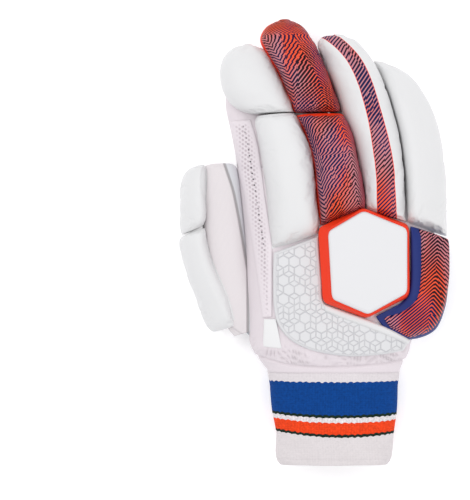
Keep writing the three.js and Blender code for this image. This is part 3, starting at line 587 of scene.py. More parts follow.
class Finish:
    """A material with one Principled shader. Even values are set on the shader's own sockets."""

    def __init__(self, name, **even):
        self.material = bpy.data.materials.new(name)
        self.material.use_nodes = True
        self.tree = self.material.node_tree
        self.shader = self.tree.nodes["Principled BSDF"]
        for socket, value in even.items():
            self.shader.inputs[socket.replace("_", " ")].default_value = value

    def node(self, kind, sockets=None, out=0, stops=None, **settings):
        """Adds a node: its settings and ramp stops first, then a value or a wire for each socket."""
        node = self.tree.nodes.new(kind)
        for setting, value in settings.items():
            setattr(node, setting, value)
        if stops:
            node.color_ramp.interpolation = "CONSTANT"
        for k, (position, colour) in enumerate(stops or []):
            stop = node.color_ramp.elements[k] if k < 2 else node.color_ramp.elements.new(position)
            stop.position, stop.color = position, (*colour, 1)
        for socket, value in (sockets or {}).items():
            if isinstance(value, Wire):
                self.tree.links.new(value.socket, node.inputs[socket])
            else:
                node.inputs[socket].default_value = value
        return Wire(self, node.outputs[out])

    def place(self):
        """Object coordinates, in metres."""
        return self.node("ShaderNodeTexCoord", out="Object")

    def axes(self, vector):
        """The three numbers of a vector."""
        return [self.node("ShaderNodeSeparateXYZ", {0: vector}, out=k) for k in range(3)]

    def lay(self, layer="lay"):
        """The distances kept on each point: along the piece, and across it from its ridge."""
        return self.axes(self.node("ShaderNodeAttribute", out="Vector", attribute_name=layer))

    def shifted(self, vector, by):
        """The same place moved aside, so that a second noise differs from the first."""
        return self.node("ShaderNodeVectorMath", {0: vector, 1: (by, by, by)}, operation="ADD")

    def noise(self, scale, detail=2.0, rough=0.5, vector=None, out="Fac"):
        """A cloudy noise, with `scale` of its patches to the metre."""
        sockets = {"Vector": vector or self.place(), "Scale": scale, "Detail": detail, "Roughness": rough}
        return self.node("ShaderNodeTexNoise", sockets, out=out)

    def soft(self, value, low, high):
        """0 below low, 1 above high and a smooth step between them."""
        sockets = {"Value": value, "From Min": low, "From Max": high}
        return self.node("ShaderNodeMapRange", sockets, interpolation_type="SMOOTHSTEP")

    def mix(self, share, low, high, blend="MIX"):
        """A colour between two colours, or their product."""
        full = lambda c: c if isinstance(c, Wire) else (*c, 1)
        sockets = {0: share, 6: full(low), 7: full(high)}
        return self.node("ShaderNodeMix", sockets, out=2, data_type="RGBA", blend_type=blend)

    def grey(self, value):
        """The same number three times, as a colour."""
        return self.node("ShaderNodeCombineColor", {0: value, 1: value, 2: value})

    def feed(self, socket, wire):
        """Links a wire to the shader."""
        self.tree.links.new(wire.socket, self.shader.inputs[socket])

    def relief(self, height, depth, strength=1.0):
        """Bump: height in 0 to 1 over a depth in metres."""
        bump = self.node("ShaderNodeBump", {"Height": height, "Distance": depth, "Strength": strength})
        self.feed("Normal", bump)


# %% [markdown]
# The rolls, guards and shield are faced with a soft synthetic leather. Close up it has a fine
# pebble, and over a hand's width its white drifts a little warmer and cooler. One function gives
# that ground to every colour of it.

# %% Synthetic leather
def facing(name, colour, roughness=0.45, grain=0.00009, drift=0.02, shine=0.24):
    """A coloured synthetic leather with a fine pebble, soft creasing and a slight drift of shade."""
    finish = Finish(name, Roughness=roughness, Specular_IOR_Level=shine)
    shade = finish.noise(28.0, 3.0)
    darker = tuple(c * (1 - 2.4 * drift) for c in colour)
    finish.tint = finish.mix(shade, darker, colour)
    finish.feed("Base Color", finish.tint)
    cells = {"Vector": finish.place(), "Scale": 1500.0, "Randomness": 0.9}
    pebble = finish.node("ShaderNodeTexVoronoi", cells)
    creases = finish.noise(170.0, 4.0, 0.6)
    finish.ground = pebble * 0.5 + creases * 0.9
    finish.relief(finish.ground, grain, 0.5)
    finish.feed("Roughness", finish.noise(60.0, 2.0) * 0.12 + (roughness - 0.06))
    return finish


WHITE = (0.735, 0.735, 0.735)
ORANGE = (0.84, 0.040, 0.009)
BLUE = (0.010, 0.024, 0.165)
white_leather = facing("white_synthetic_leather", WHITE)
shield_leather = facing("shield_face_leather", (0.735, 0.735, 0.745), 0.42, 0.00004, 0.01)
orange_leather = facing("orange_synthetic_leather", ORANGE, 0.42)
blue_leather = facing("blue_synthetic_leather", BLUE, 0.42)
print("facings:", len(bpy.data.materials), "materials")

# %% [markdown]
# The patterned facings are printed with a herringbone: thin slanted lines that turn back at each
# spine. The mesh keeps how far each point is from its spine, so the print needs only one slanted
# coordinate. Slow noises make the line wider in some places, bluer in others, and let the ground
# fade from orange to mauve; the mauve is partly the print's own paler patches and partly a painted
# highlight. On a roll's right flank a fade pales the print further, as a painted grazing sheen. A
# stepped noise shifts the lines by a part of their pitch, which gives the small breaks of a print
# that was joined from strips.

# %% Herringbone print
LINE_PITCH = 2.55 * MM
LINE_SLOPE = 0.95
JOG = 0.31


def herringbone(finish, up, spine, fade=None):
    """The printed colour: stripes along up - slope * distance from the spine."""
    sockets = {0: finish.place(), 1: (1.0, 0.42, 0.6)}
    stretched = finish.node("ShaderNodeVectorMath", sockets, operation="MULTIPLY")
    jogs = (finish.noise(60.0, 0.0, vector=stretched) * 6.0).floor() * JOG
    wobble = finish.noise(420.0, 1.0) * 0.06
    phase = ((up - spine * LINE_SLOPE) * (1 / LINE_PITCH) + jogs + wobble).part()
    wave = abs(phase - 0.5) * 2.0
    wide = finish.soft(finish.noise(58.0, 1.0, 0.4, vector=stretched), 0.40, 0.60)
    cool = finish.soft(finish.noise(46.0, 1.0, 0.4, vector=finish.shifted(stretched, 3.1)), 0.42, 0.58)
    # partly painted highlight: slow patches where the ground turns mauve, partly the print's own paler
    # patches
    mauve_print_and_highlight = finish.soft(finish.noise(52.0, 1.0, 0.4, vector=finish.shifted(stretched, 7.7)), 0.38, 0.60)
    line = finish.soft(wide * 0.18 + 0.48 - wave, -0.08, 0.08)
    ink = finish.mix(cool, (0.016, 0.003, 0.008), (0.004, 0.008, 0.062))
    ground = finish.mix(mauve_print_and_highlight, (0.80, 0.085, 0.030), (0.55, 0.205, 0.235))
    printed = finish.mix(line, ground, ink)
    if fade is None:
        return printed
    # painted grazing sheen: where the fade is positive, on a roll's right flank, the print pales to mauve
    with_painted_sheen = finish.mix(fade.most(0) * 0.85, printed, (0.40, 0.085, 0.115))
    return finish.mix((0 - fade).most(0), with_painted_sheen, ORANGE)


def printed(name, edge=None):
    """A printed facing. Its first millimetres can be a plain orange edge."""
    finish = facing(name, ORANGE, 0.45, shine=0.12)
    up, spine, fade = finish.lay("print")
    colour = herringbone(finish, up, spine, fade)
    if edge:
        along, _, _ = finish.lay()
        colour = finish.mix(finish.soft(along, edge * 0.7, edge), ORANGE, colour)
    finish.feed("Base Color", colour)
    return finish


printed_leather = printed("herringbone_leather")
edged_leather = printed("edged_herringbone_leather", edge=3.0 * MM)

striped_leather = facing("striped_roll_leather", WHITE, shine=0.16)
up, spine, stripe = striped_leather.lay("print")
inside = striped_leather.soft(stripe, 0.0, 0.03) * striped_leather.soft(1 - stripe, 0.0, 0.03)
stripe_lines = herringbone(striped_leather, up, spine)
trimmed = striped_leather.mix(striped_leather.soft(abs(stripe - 0.5), 0.44, 0.46), stripe_lines, ORANGE)
striped_leather.feed("Base Color", striped_leather.mix(inside, striped_leather.tint, trimmed))

# %% [markdown]
# The panel under the shield is embossed with a hexagon tiling in which many cells hold three
# spokes, so that they look like small cubes. Two shifted grids give every place its nearest hexagon
# centre. A smooth noise read at that centre, the same for the whole cell, decides whether the cell
# is empty and which way its spokes point.

# %% Hexagon embossing
CELL = 7.1 * MM
LINE = 0.075


def hexagons(finish):
    """1 on the tiling's lines and 0 between them, over x and y."""
    tall = 3**0.5
    x, y, _ = finish.axes(finish.place())
    x, y = x * (1 / CELL), y * (1 / CELL)
    near = (x.wrap(-0.5, 0.5), y.wrap(-tall / 2, tall / 2))
    far = ((x - 0.5).wrap(-0.5, 0.5), (y - tall / 2).wrap(-tall / 2, tall / 2))
    size = lambda p: p[0] * p[0] + p[1] * p[1]
    pick = size(near) < size(far)
    gx = pick * near[0] + (1 - pick) * far[0]
    gy = pick * near[1] + (1 - pick) * far[1]
    centre = finish.node("ShaderNodeCombineXYZ", {0: x - gx, 1: y - gy, 2: 0.37})
    kind = finish.noise(1.7, 0.0, vector=centre)
    turned = finish.noise(2.3, 0.0, vector=finish.shifted(centre, 5.3)) > 0.5
    edge = abs(gx).most(abs(gx) * 0.5 + abs(gy) * (tall / 2))
    lines = finish.soft(edge, 0.5 - LINE, 0.5 - LINE / 3)
    gy = gy * (turned * 2.0 - 1)
    for turn in np.radians((90, 210, 330)):
        c, s = float(np.cos(turn)), float(np.sin(turn))
        beside = 1 - finish.soft(abs(gx * s - gy * c), LINE / 4, LINE * 0.8)
        lines = lines.most(beside * ((gx * c + gy * s) > 0) * (kind > 0.46))
    return lines


embossed_leather = facing("embossed_leather", (0.71, 0.71, 0.72), 0.48)
inset, _, _ = embossed_leather.lay("border")
lattice = hexagons(embossed_leather) * embossed_leather.soft(inset, 2.0 * MM, 2.4 * MM)
faded = lattice * (embossed_leather.noise(110.0, 1.0) * 0.8 + 0.25)
# a grey line round the border, 1.9 mm in: partly its seam, partly painted shadow beside the raised edge
seam_and_shadow = (1 - embossed_leather.soft(abs(inset - 1.9 * MM), 0.15 * MM, 0.6 * MM)) * 0.22
drawn = embossed_leather.mix(faded, embossed_leather.tint, (0.50, 0.50, 0.52))
embossed_leather.feed("Base Color", embossed_leather.mix(seam_and_shadow, drawn, (0.36, 0.35, 0.37)))
embossed_leather.relief(1 - lattice.most(seam_and_shadow * 2), 0.0005, 0.6)

# %% [markdown]
# The hand, the stalls and the thumb are cloth: a fine single knit whose ribs, the wales, run along
# the piece. A wale is under a millimetre wide, so it is bump and a slight painted shade between wales,
# with a sheen for the loose fibres. In the hollows of the wrist's folds the cloth is painted a little
# darker, as the shade there, so the mesh keeps how deep in a fold each point lies.

# %% Knitted cloth
def knit(name, colour, wale, depth, uneven=0.06, roughness=0.85):
    """Wales of a given width across the lay, crossed by stitches, with painted shade between the wales
    and a soft random unevenness of tone.
    """
    finish = Finish(name, Roughness=roughness, Sheen_Weight=0.2, Sheen_Roughness=0.5)
    along, across, _ = finish.lay()
    drift = finish.noise(420.0, 2.0) * wale
    wales = abs(((across + drift) * (np.pi / wale)).sine())
    stitches = abs(((along + wales * (0.5 * wale)) * (np.pi / (0.8 * wale))).sine())
    finish.weave = wales**0.6 * 0.75 + stitches * 0.25
    cloudy = finish.noise(55.0, 3.0) * uneven + finish.noise(380.0, 2.0) * uneven
    dark = tuple(c * 0.84 for c in colour)
    # painted shade: darker between wales and stitches; the cloudy noises add a random unevenness of tone
    finish.tint = finish.mix(finish.weave * 0.7 + 0.36 - cloudy, dark, colour)
    finish.feed("Base Color", finish.tint)
    finish.relief(finish.weave, depth, 0.5)
    return finish


CLOTH = (0.755, 0.69, 0.72)
hand_cloth = knit("hand_cloth", CLOTH, 0.9 * MM, 0.00018)
shaded_fold, _, _ = hand_cloth.lay("shaded_fold")
# painted shade: the cloth is darkened towards grey-mauve in the hollows of the wrist's folds
shaded = hand_cloth.mix(hand_cloth.soft(shaded_fold, 0.0, 1.0) * 0.26, hand_cloth.tint, (0.42, 0.36, 0.38))
hand_cloth.feed("Base Color", shaded)

# %% [markdown]
# The thumb is made of a soft warm panel and a cooler inner side, joined by a curved seam. The inner
# side's tone is partly its own and partly painted shade, as it turns away from the light. The mesh
# keeps each point's distance from the seam in plan, positive on its right. The seam itself is a
# groove with a thin grey line of painted shadow, and the fold below it gets a painted shadow line too.

# %% Seamed thumb cloth
def seamed_thumb():
    """The knit in two tones, the cooler one partly painted shade, with a painted shadow line where the
    distance from the seam is near 0 and another along the fold.
    """
    finish = knit("thumb_cloth", (0.745, 0.70, 0.71), 0.8 * MM, 0.00006)
    seam, ridge, _ = finish.lay("seams")
    # the cooler inner side: partly its own colour, partly painted shade where it turns from the light
    cool = finish.soft(seam, -0.0002, 0.0006)
    ground = finish.mix(cool, finish.tint, (0.66, 0.665, 0.69))
    groove = 1 - finish.soft(abs(seam), 0.0003, 0.0013)
    shaded_fold = 1 - finish.soft(abs(ridge), 0.0003, 0.0016)
    # painted shadow: a grey line along the seam's groove
    shaded = finish.mix(groove * 0.75, ground, (0.26, 0.245, 0.25))
    # painted shadow: a darker line along the fold
    finish.feed("Base Color", finish.mix(shaded_fold * 0.28, shaded, (0.45, 0.42, 0.43)))
    finish.relief(finish.weave * 0.12 - groove - shaded_fold * 0.5, 0.0008, 0.8)
    return finish


thumb_cloth = seamed_thumb()

# %% [markdown]
# Beside the index finger runs a strip of airy spacer mesh. Its holes lie in slanting rows and are
# painted darker, as the shade seen through them, and one column of them is open enough to be painted
# near black as deep shade, fainter towards the wrist. The strip is printed by its place in plan, so
# it runs on from the hand to the finger without a break.

# %% Spacer mesh
HOLE_PITCH = 2.3 * MM
ROW_PITCH = 2.5 * MM
ROW_SLANT = np.radians(40)
EYELET_SHARE = 0.58
EYELET_PITCH = 3.9 * MM


def airy_mesh():
    """Rows of holes slanting down to the right, painted darker as shade, and one column of open
    eyelets painted near black as shade.
    """
    finish = Finish("spacer_mesh", Roughness=0.8, Sheen_Weight=0.15)
    down, across, width = finish.lay("strip")
    c, s = float(np.cos(ROW_SLANT)), float(np.sin(ROW_SLANT))
    rows = (down * c - across * s) * (1 / ROW_PITCH)
    holes = (across * c + down * s) * (1 / HOLE_PITCH) + rows.floor() * 0.37
    u, v = (rows.part() - 0.5) * ROW_PITCH, (holes.part() - 0.5) * HOLE_PITCH
    round_hole = (u * u + v * v) ** 0.5
    share = across / width
    inset, _, _ = finish.lay("border")
    sides = finish.soft(share, 0.04, 0.14) * (1 - finish.soft(share, 0.82, 0.94))
    inner = sides * finish.soft(inset, 1 * MM, 6 * MM)
    shaded_hole = (1 - finish.soft(round_hole, 0.40 * MM, 1.05 * MM)) * inner
    step = ((down * (1 / EYELET_PITCH) + 0.3).part() - 0.5) * EYELET_PITCH
    aside = (share - EYELET_SHARE) * width
    shaded_eyelet = 1 - finish.soft((step * step + aside * aside) ** 0.5, 0.30 * MM, 0.75 * MM)
    patchy = finish.soft(finish.noise(45.0, 1.0), 0.40, 0.60) * 0.5 + 0.5
    base = finish.mix(finish.noise(70.0, 2.0), (0.74, 0.675, 0.705), (0.77, 0.71, 0.74))
    # painted shade: the holes are darkened as the shade seen through them
    tone = finish.mix(shaded_hole * 0.55, base, (0.38, 0.29, 0.33))
    # the eyelets' painted shade is full towards the fingers and fainter towards the wrist
    fainter_towards_wrist = 1 - finish.soft(down, -2 * MM, 16 * MM) * 0.75
    shaded_eyelet = shaded_eyelet * patchy * finish.soft(inset, 0.0, 4 * MM) * fainter_towards_wrist
    # painted shade: the open eyelets are near black
    finish.feed("Base Color", finish.mix(shaded_eyelet, tone, (0.03, 0.025, 0.03)))
    finish.relief(1 - shaded_hole.most(shaded_eyelet), 0.0005, 0.7)
    return finish


mesh_cloth = airy_mesh()

# %% [markdown]
# The cuff is one knitted tube whose bands are knitted in, so each colour changes along a small
# zigzag where the stitches interlock. The distance down the cuff is shifted by a wave round it
# before a hard ramp picks the colour. The ground is a fine knit with flecks, not wide ribs.

# %% Banded cuff
BANDS = [
    (0.0, (0.70, 0.655, 0.67)),
    (6.4, (0.003, 0.050, 0.235)),
    (26.3, (0.008, 0.022, 0.014)),
    (28.0, (0.70, 0.66, 0.67)),
    (31.0, (0.78, 0.056, 0.012)),
    (38.2, (0.008, 0.022, 0.014)),
    (39.8, (0.69, 0.645, 0.65)),
]
CUFF_LENGTH = 62.3 * MM
SCALLOP = 4.2 * MM


def banded_cuff():
    """The colour of each band, by the distance down the cuff shifted by the scallops of its stitches."""
    finish = Finish("ribbed_cuff", Roughness=0.95, Specular_IOR_Level=0.15)
    down, around, band = finish.lay()
    scallop = abs((around * (np.pi / SCALLOP)).sine()) * 0.6 + finish.noise(420.0, 1.0) * 0.9
    shift = (scallop - 0.8) * MM
    stops = [(start * MM / CUFF_LENGTH, colour) for start, colour in BANDS]
    colour = finish.node("ShaderNodeValToRGB", {0: (band + shift) / CUFF_LENGTH}, stops=stops)
    wales = abs((around * (np.pi / (1.05 * MM))).sine())
    stitches = abs(((down + wales * 0.0004) * (np.pi / (1.2 * MM))).sine())
    weave = wales * 0.6 + stitches * 0.4
    flecks = finish.noise(650.0, 2.0, 0.7)
    coloured = finish.soft(band, 6.3 * MM, 6.6 * MM) * (1 - finish.soft(band, 39.8 * MM, 40.1 * MM))
    flecked = (flecks - 0.5) * (coloured * 0.75 + 0.22)
    # painted shade: the weave term darkens between ribs and stitches; the flecks and slow noise are the
    # yarn's own uneven tone
    shade = (weave - 0.6) * (coloured * 0.30 + 0.10) + flecked + finish.noise(60.0, 2.0) * 0.08 + 0.95
    finish.feed("Base Color", finish.mix(1.0, colour, finish.grey(shade), blend="MULTIPLY"))
    finish.relief(weave * 0.5 + flecks, 0.0005, 0.6)
    return finish


cuff_knit = banded_cuff()

# %% [markdown]
# The palm side carries plain split leather, and the strap is a plain knitted webbing. The palm was
# not in view, so both stay simple, but they still get their grain. The tag is a smooth satin.

# %% Palm leather, strap and tag
palm_leather = facing("palm_leather", (0.66, 0.72, 0.75), 0.55, 0.00025, 0.05)
strap_cloth = knit("strap_webbing", (0.72, 0.72, 0.73), 1.2 * MM, 0.0002)
tag_cloth = facing("tag_satin", (0.80, 0.80, 0.80), 0.5, 0.00005, 0.01)
print("finishes:", [m.name for m in bpy.data.materials])

# %% [markdown]
# The hand is a hollow cloth body. Its padded back is thicker than its palm and sides, and the cloth
# gathers in short slanted folds just above the cuff. Where the gathers end, the cloth is pulled in
# along a shallow curve. On the real glove that is the seam to the knitted cuff.

# %% Hand
SIDE_WALL = 3 * MM
BACK_PADDING = 8 * MM
PALM_WALL = 3 * MM
STALL_WALL = 2 * MM
HAND_RINGS, HAND_SIDES = 145, 328
FINE_RINGS = 900
CROWDING = 1.4
WRIST_SEAM = plan([(260, 357), (276, 362), (290, 365.5), (320, 367.5), (350, 367), (385, 364), (400, 361)],
                  0.04)
# The lip over the cuff, from inside out: how far in from the hand's outside, and how far past its end.
LIP = np.array([[0.25, 0.0], [0.25, 1.2], [0.15, 1.4], [0.0, 1.3]]) * MM


def gathers(grid):
    """Folds along the normal: slanted sines between the panel and the wrist seam, and a groove there.
    Returns the moved grid and how deep in a fold each point lies, from 0 to 1, which sets how much
    painted shade the cloth gets there."""
    x, y = grid[..., 0], grid[..., 1]
    seam = np.interp(x, WRIST_SEAM[:, 0], WRIST_SEAM[:, 1])
    above = y - seam
    band = np.clip(above / (2 * MM), 0, 1) * np.clip((15 * MM - above) / (6 * MM), 0, 1)
    slow = waves(np.stack([x, y], axis=2), [(31, 20), (52, -14), (17, 9)], 4)
    broken = 0.6 + 0.4 * np.sin(2 * np.pi * (y * 190 - x * 50 + slow))
    strokes = np.sin(2 * np.pi * (x * 270 + y * 60 + slow * 2.2)) * broken
    folds = 0.65 * MM * strokes + 0.8 * MM * slow
    groove = np.exp(-((above / (0.9 * MM)) ** 2)) * 0.9 * MM
    bulge = 1.1 * MM * np.exp(-(((above - 7 * MM) / (5 * MM)) ** 2))
    upper = np.clip((grid[..., 2] - 12 * MM) / (12 * MM), 0, 1)
    # how much painted shade each point gets: deep in a fold's hollow and in the groove at the seam
    painted_shade_depth = np.clip((band * np.clip(-1.4 * strokes, 0, 1) + 0.7 * groove / (0.9 * MM)) * upper, 0, 1)
    return grid + normals(grid) * ((band * folds + bulge - groove) * upper)[..., None], painted_shade_depth


def hand():
    """The gathered outside with its lip, and an inside set in by the walls. The rings crowd near the
    wrist: their places are even steps from 0 to 1 raised to the power of CROWDING."""
    places = np.linspace(0, 1, HAND_RINGS) ** CROWDING
    sections = smooth(HAND, FINE_RINGS)[np.unique(np.round(places * (FINE_RINGS - 1)).astype(int))]
    outer, shaded_fold = gathers(rings(sections, HAND_SIDES, HAND_POWER, floor=0.0))
    lip = np.repeat(outer[:1], len(LIP), axis=0) - normals(outer)[:1] * LIP[:, :1, None]
    lip[..., 1] -= LIP[:, 1:]
    outer = np.concatenate([lip, outer])
    outer[..., 2] = np.maximum(outer[..., 2], 0)
    thinner = sections.copy()
    thinner[:, 6] -= BACK_PADDING - SIDE_WALL
    inner = rings(thinner, HAND_SIDES, HAND_POWER, grow=-SIDE_WALL, floor=PALM_WALL)
    inner = np.concatenate([np.repeat(inner[:1], len(LIP), axis=0), inner])
    inner[: len(LIP), :, 1] += np.linspace(0.03, 0.01, len(LIP))[:, None] * MM
    shaded_fold = np.concatenate([np.repeat(shaded_fold[:1], len(LIP), axis=0), shaded_fold])[..., None]
    layers = {"shaded_fold": np.repeat(shaded_fold, 3, axis=2)}
    return hollow("hand_cloth_body", outer, inner, hand_cloth, "hand_shell", True, layers)


hand()

# %% [markdown]
# Each stall is a closed tube of the same cloth. Its inside stops a wall short of the fingertip. The
# thumb's outside also keeps how far each point is from its seam and from the fold below it.

# %% Stalls
STALL_RINGS, STALL_SIDES = 84, 80


def stall(name, rows, node, finish, lines=()):
    """A hollow length, open where its first row is and closed at its last."""
    sections = smooth(rows, STALL_RINGS)
    outer = rings(sections, STALL_SIDES, STALL_POWER, floor=0.0)
    inner = rings(sections, STALL_SIDES, STALL_POWER, grow=-STALL_WALL, floor=PALM_WALL)
    start = inner[0].mean(0)
    length = np.linalg.norm(inner[-1].mean(0) - start)
    inner[..., :2] = start[:2] + (inner[..., :2] - start[:2]) * (1 - STALL_WALL / length)
    beside = [outer[..., 0] - x_on(line, outer[..., 1]) for line in lines]
    lays = {"seams": np.stack(beside, axis=2)} if beside else {}
    return hollow(name, outer, inner, finish, node, lays=lays)


STALLS = {"index": STALL_INDEX, "middle": STALL_MIDDLE, "ring": STALL_RING, "little": STALL_LITTLE}
for finger, rows in STALLS.items():
    stall(f"{finger}_stall_cloth", rows, f"stall_{finger}", hand_cloth)
THUMB_SEAM = plan([(226, 168), (233.5, 190), (238.5, 215), (242, 235), (245, 253)], 0.03)
THUMB_FOLD = plan([(262, 352), (243, 335), (228, 325), (215, 318)], 0.03)
stall("thumb_stall_cloth", THUMB[::-1], "thumb_stall", thumb_cloth, [THUMB_SEAM, THUMB_FOLD])

# %% [markdown]
# The rolls are foam under tight leather. On a real glove each is sewn from a top panel and two
# sides and stuffed, so it is full in the middle, pulled in at its seams and puckered beside them.
# The loft gives the fullness. Blender's Cloth then gives the puckers: the upper panel is cut a
# little too large, held along its seams and at its ends, and pushed out from inside. No point may
# move further than the leather would let it.

# %% Stuffing the rolls
CLOTH_FRAMES = 20
SPARE_CLOTH = 0.035
PUSH = 6.0
FARTHEST = 0.6 * MM


def cloth_panel(name, grid):
    """Every second ring and point of a roll as a tube of cloth, held underneath and at its ends."""
    coarse = grid[::2, ::2]
    count, sides = coarse.shape[:2]
    points = coarse.reshape(-1, 3)
    faces = quads(np.arange(count * sides).reshape(count, sides))
    if volume(points - points.mean(0), faces) < 0:
        faces = faces[:, ::-1]
    panel = placed(name, meshed(name, points.tolist(), faces.tolist()))
    held = np.zeros((count, sides), dtype=bool)
    held[:, np.r_[0 : sides // 4 + 1, 3 * sides // 4 : sides]] = True
    held[[0, 1, -2, -1]] = True
    panel.vertex_groups.new(name="held").add(np.flatnonzero(held.ravel()).tolist(), 1.0, "REPLACE")
    cloth = panel.modifiers.new("cloth", "CLOTH")
    cloth.point_cache.frame_start, cloth.point_cache.frame_end = 1, CLOTH_FRAMES
    cloth.collision_settings.use_collision = False
    settings = dict(
        quality=6, mass=0.2, tension_stiffness=15, compression_stiffness=15, shear_stiffness=4,
        bending_stiffness=0.02, air_damping=4, use_pressure=True, uniform_pressure_force=PUSH,
        shrink_min=-SPARE_CLOTH, shrink_max=-SPARE_CLOTH, vertex_group_mass="held",
    )
    for setting, value in settings.items():
        setattr(cloth.settings, setting, value)
    cloth.settings.effector_weights.gravity = 0
    return panel


def stuffed(grids):
    """Runs the cloth of all rolls together and adds how far it moved, capped, to each grid."""
    scene = bpy.context.scene
    panels = {name: cloth_panel(name, grid) for name, grid in grids.items()}
    for frame_number in range(1, CLOTH_FRAMES + 1):
        scene.frame_set(frame_number)
    evaluated = bpy.context.evaluated_depsgraph_get()
    moved = {}
    for name, panel in panels.items():
        grid = grids[name]
        coarse = grid[::2, ::2]
        settled = np.empty(coarse.size)
        panel.evaluated_get(evaluated).data.vertices.foreach_get("co", settled)
        move = settled.reshape(coarse.shape) - coarse
        size = np.maximum(np.linalg.norm(move, axis=2, keepdims=True), 1e-9)
        move = move * FARTHEST * np.tanh(size / FARTHEST) / size
        fine = np.repeat(np.repeat(move, 2, axis=0), 2, axis=1)[: grid.shape[0], : grid.shape[1]]
        fine = (fine + np.roll(fine, 1, 1)) / 2
        fine[1:] = (fine[1:] + fine[:-1]) / 2
        moved[name] = grid + fine
        print(f"{name}: the cloth moved up to {size.max() / MM:.2f} mm")
    scene.frame_set(1)
    for panel in panels.values():
        mesh = panel.data
        bpy.data.objects.remove(panel)
        bpy.data.meshes.remove(mesh)
    return moved


# %% Finger rolls
ROLL_RINGS, ROLL_SIDES = 151, 128
LEFT_SLOPE = 0.45
LEFT_EDGE = 0.69


def spine_print(grid, spines, fades=None):
    """The print's own lay: along the roll, the distance from the nearest spine, and a fade. A spine is
    where a line in plan meets each ring, as a distance round the ring. The lines climb away from the
    first spine, less steeply on its left, and fall again past the second. The fade is positive where
    the print pales on the right into a painted grazing sheen, and negative on the left wall, which is
    plain orange."""
    lay = lay_of(grid)
    rows = np.arange(len(grid))
    top = np.abs(np.arange(grid.shape[1]) - grid.shape[1] / 2) < grid.shape[1] / 4
    offsets = []
    for line in spines:
        x = x_on(line, grid[..., 1].mean(1))
        miss = np.where(top, np.abs(grid[..., 0] - x[:, None]), 1.0)
        offsets.append(lay[rows, miss.argmin(1), 1][:, None])
    across = lay[..., 1] - offsets[0]
    distance = np.where(across < 0, -across * LEFT_SLOPE, across)
    up = -walked(grid[:, grid.shape[1] // 2])[:, None]
    fade = 0 * across
    if len(spines) > 1:
        second = offsets[1] - offsets[0]
        distance = np.minimum(distance, 2 * second - across)
        if fades:
            # the fade that paints the grazing sheen grows past the second spine
            fade = np.clip((across - second - fades[0]) / fades[1], 0, 1)
    turn = np.linspace(0, 1, grid.shape[1], endpoint=False)
    fade = np.where(turn > LEFT_EDGE, -np.clip((turn - LEFT_EDGE) / 0.02, 0, 1), fade)
    return np.stack([up + 0 * distance, distance, fade], axis=2)


def loft(name, rows):
    """A roll's rings, made softly uneven along their normals by slow waves."""
    grid = rings(smooth(rows, ROLL_RINGS), ROLL_SIDES, ROLL_POWER)
    return grid + normals(grid) * (0.35 * MM * waves(lay_of(grid), SOFT_WAVES, len(name)))[..., None]


def roll(name, node, finish, finger, prints=None):
    """A padded length, seated on its finger and domed. Its print was made before it was stuffed."""
    grid = domed(seat(STUFFED[name], SEATS[finger]))
    lays = {"print": prints(domed(seat(LOFTED[name], SEATS[finger])))} if prints else {}
    closed(name, grid, finish, node, lays)


ROLL_ROWS = {
    "index_tip_padding": INDEX_TIP,
    "index_base_padding": INDEX_BASE,
    "middle_tip_padding": MIDDLE_TIP,
    "middle_base_padding": MIDDLE_BASE,
    "ring_padding": RING,
    "little_padding": LITTLE,
    "thumb_tip_padding": THUMB_GUARD_TIP,
    "thumb_base_padding": THUMB_GUARD_BASE,
}
LOFTED = {name: loft(name, rows) for name, rows in ROLL_ROWS.items()}
STUFFED = stuffed(LOFTED)

HAND_SEAT = [(HAND, HAND_POWER)]
SEATS = {finger: [(rows, STALL_POWER)] + HAND_SEAT for finger, rows in STALLS.items()}
SEATS["thumb"] = [(THUMB, STALL_POWER)]

for part in ("tip", "base"):
    roll(f"index_{part}_padding", f"index_roll_{part}", white_leather, "index")
    roll(f"thumb_{part}_padding", f"thumb_guard_{part}", white_leather, "thumb")
roll("little_padding", "little_roll", white_leather, "little")

TIP_SPINES = [plan([(266, 38), (292, 76), (296, 107)]), plan([(300, 45), (318, 76), (327, 107)])]
BASE_SPINES = [
    plan([(301.7, 117.6), (313.7, 146), (319, 173), (325, 205)], 0.058),
    plan([(338, 114), (347, 140), (355, 178), (358, 210)], 0.058),
]
roll("middle_tip_padding", "middle_roll_tip", printed_leather, "middle",
     lambda grid: spine_print(grid, TIP_SPINES))
roll("middle_base_padding", "middle_roll_base", edged_leather, "middle",
     lambda grid: spine_print(grid, BASE_SPINES, (2.5 * MM, 5 * MM)))

# %% [markdown]
# The ring finger's roll is white with one printed stripe down it. The stripe's two edges are lines
# in plan, and each point keeps where it lies between them: 0 at the left edge and 1 at the right.

# %% Striped roll
STRIPE_LEFT = plan([(377, 212), (375, 175), (368, 123), (360, 90), (353, 70), (342, 50), (325, 37)])
STRIPE_RIGHT = plan(
    [(397, 212), (393, 160), (387, 133), (380, 107), (373, 82), (366, 64), (357, 48), (340, 34)]
)


def stripe_print(grid):
    """Along the roll, the distance round it, and the share of the way over the stripe."""
    left, right = x_on(STRIPE_LEFT, grid[..., 1]), x_on(STRIPE_RIGHT, grid[..., 1])
    share = (grid[..., 0] - left) / (right - left)
    across = lay_of(grid)[..., 1]
    return np.stack([grid[..., 1], across - across.min(), share], axis=2)


roll("ring_padding", "ring_roll", striped_leather, "ring", stripe_print)

# %% [markdown]
# The knuckle shield is a six-sided block of foam in an orange skin with a white face set on it. Both
# are one outline with rounded corners, lifted through a short profile: a row says how far the
# outline is scaled in and how high it stands.

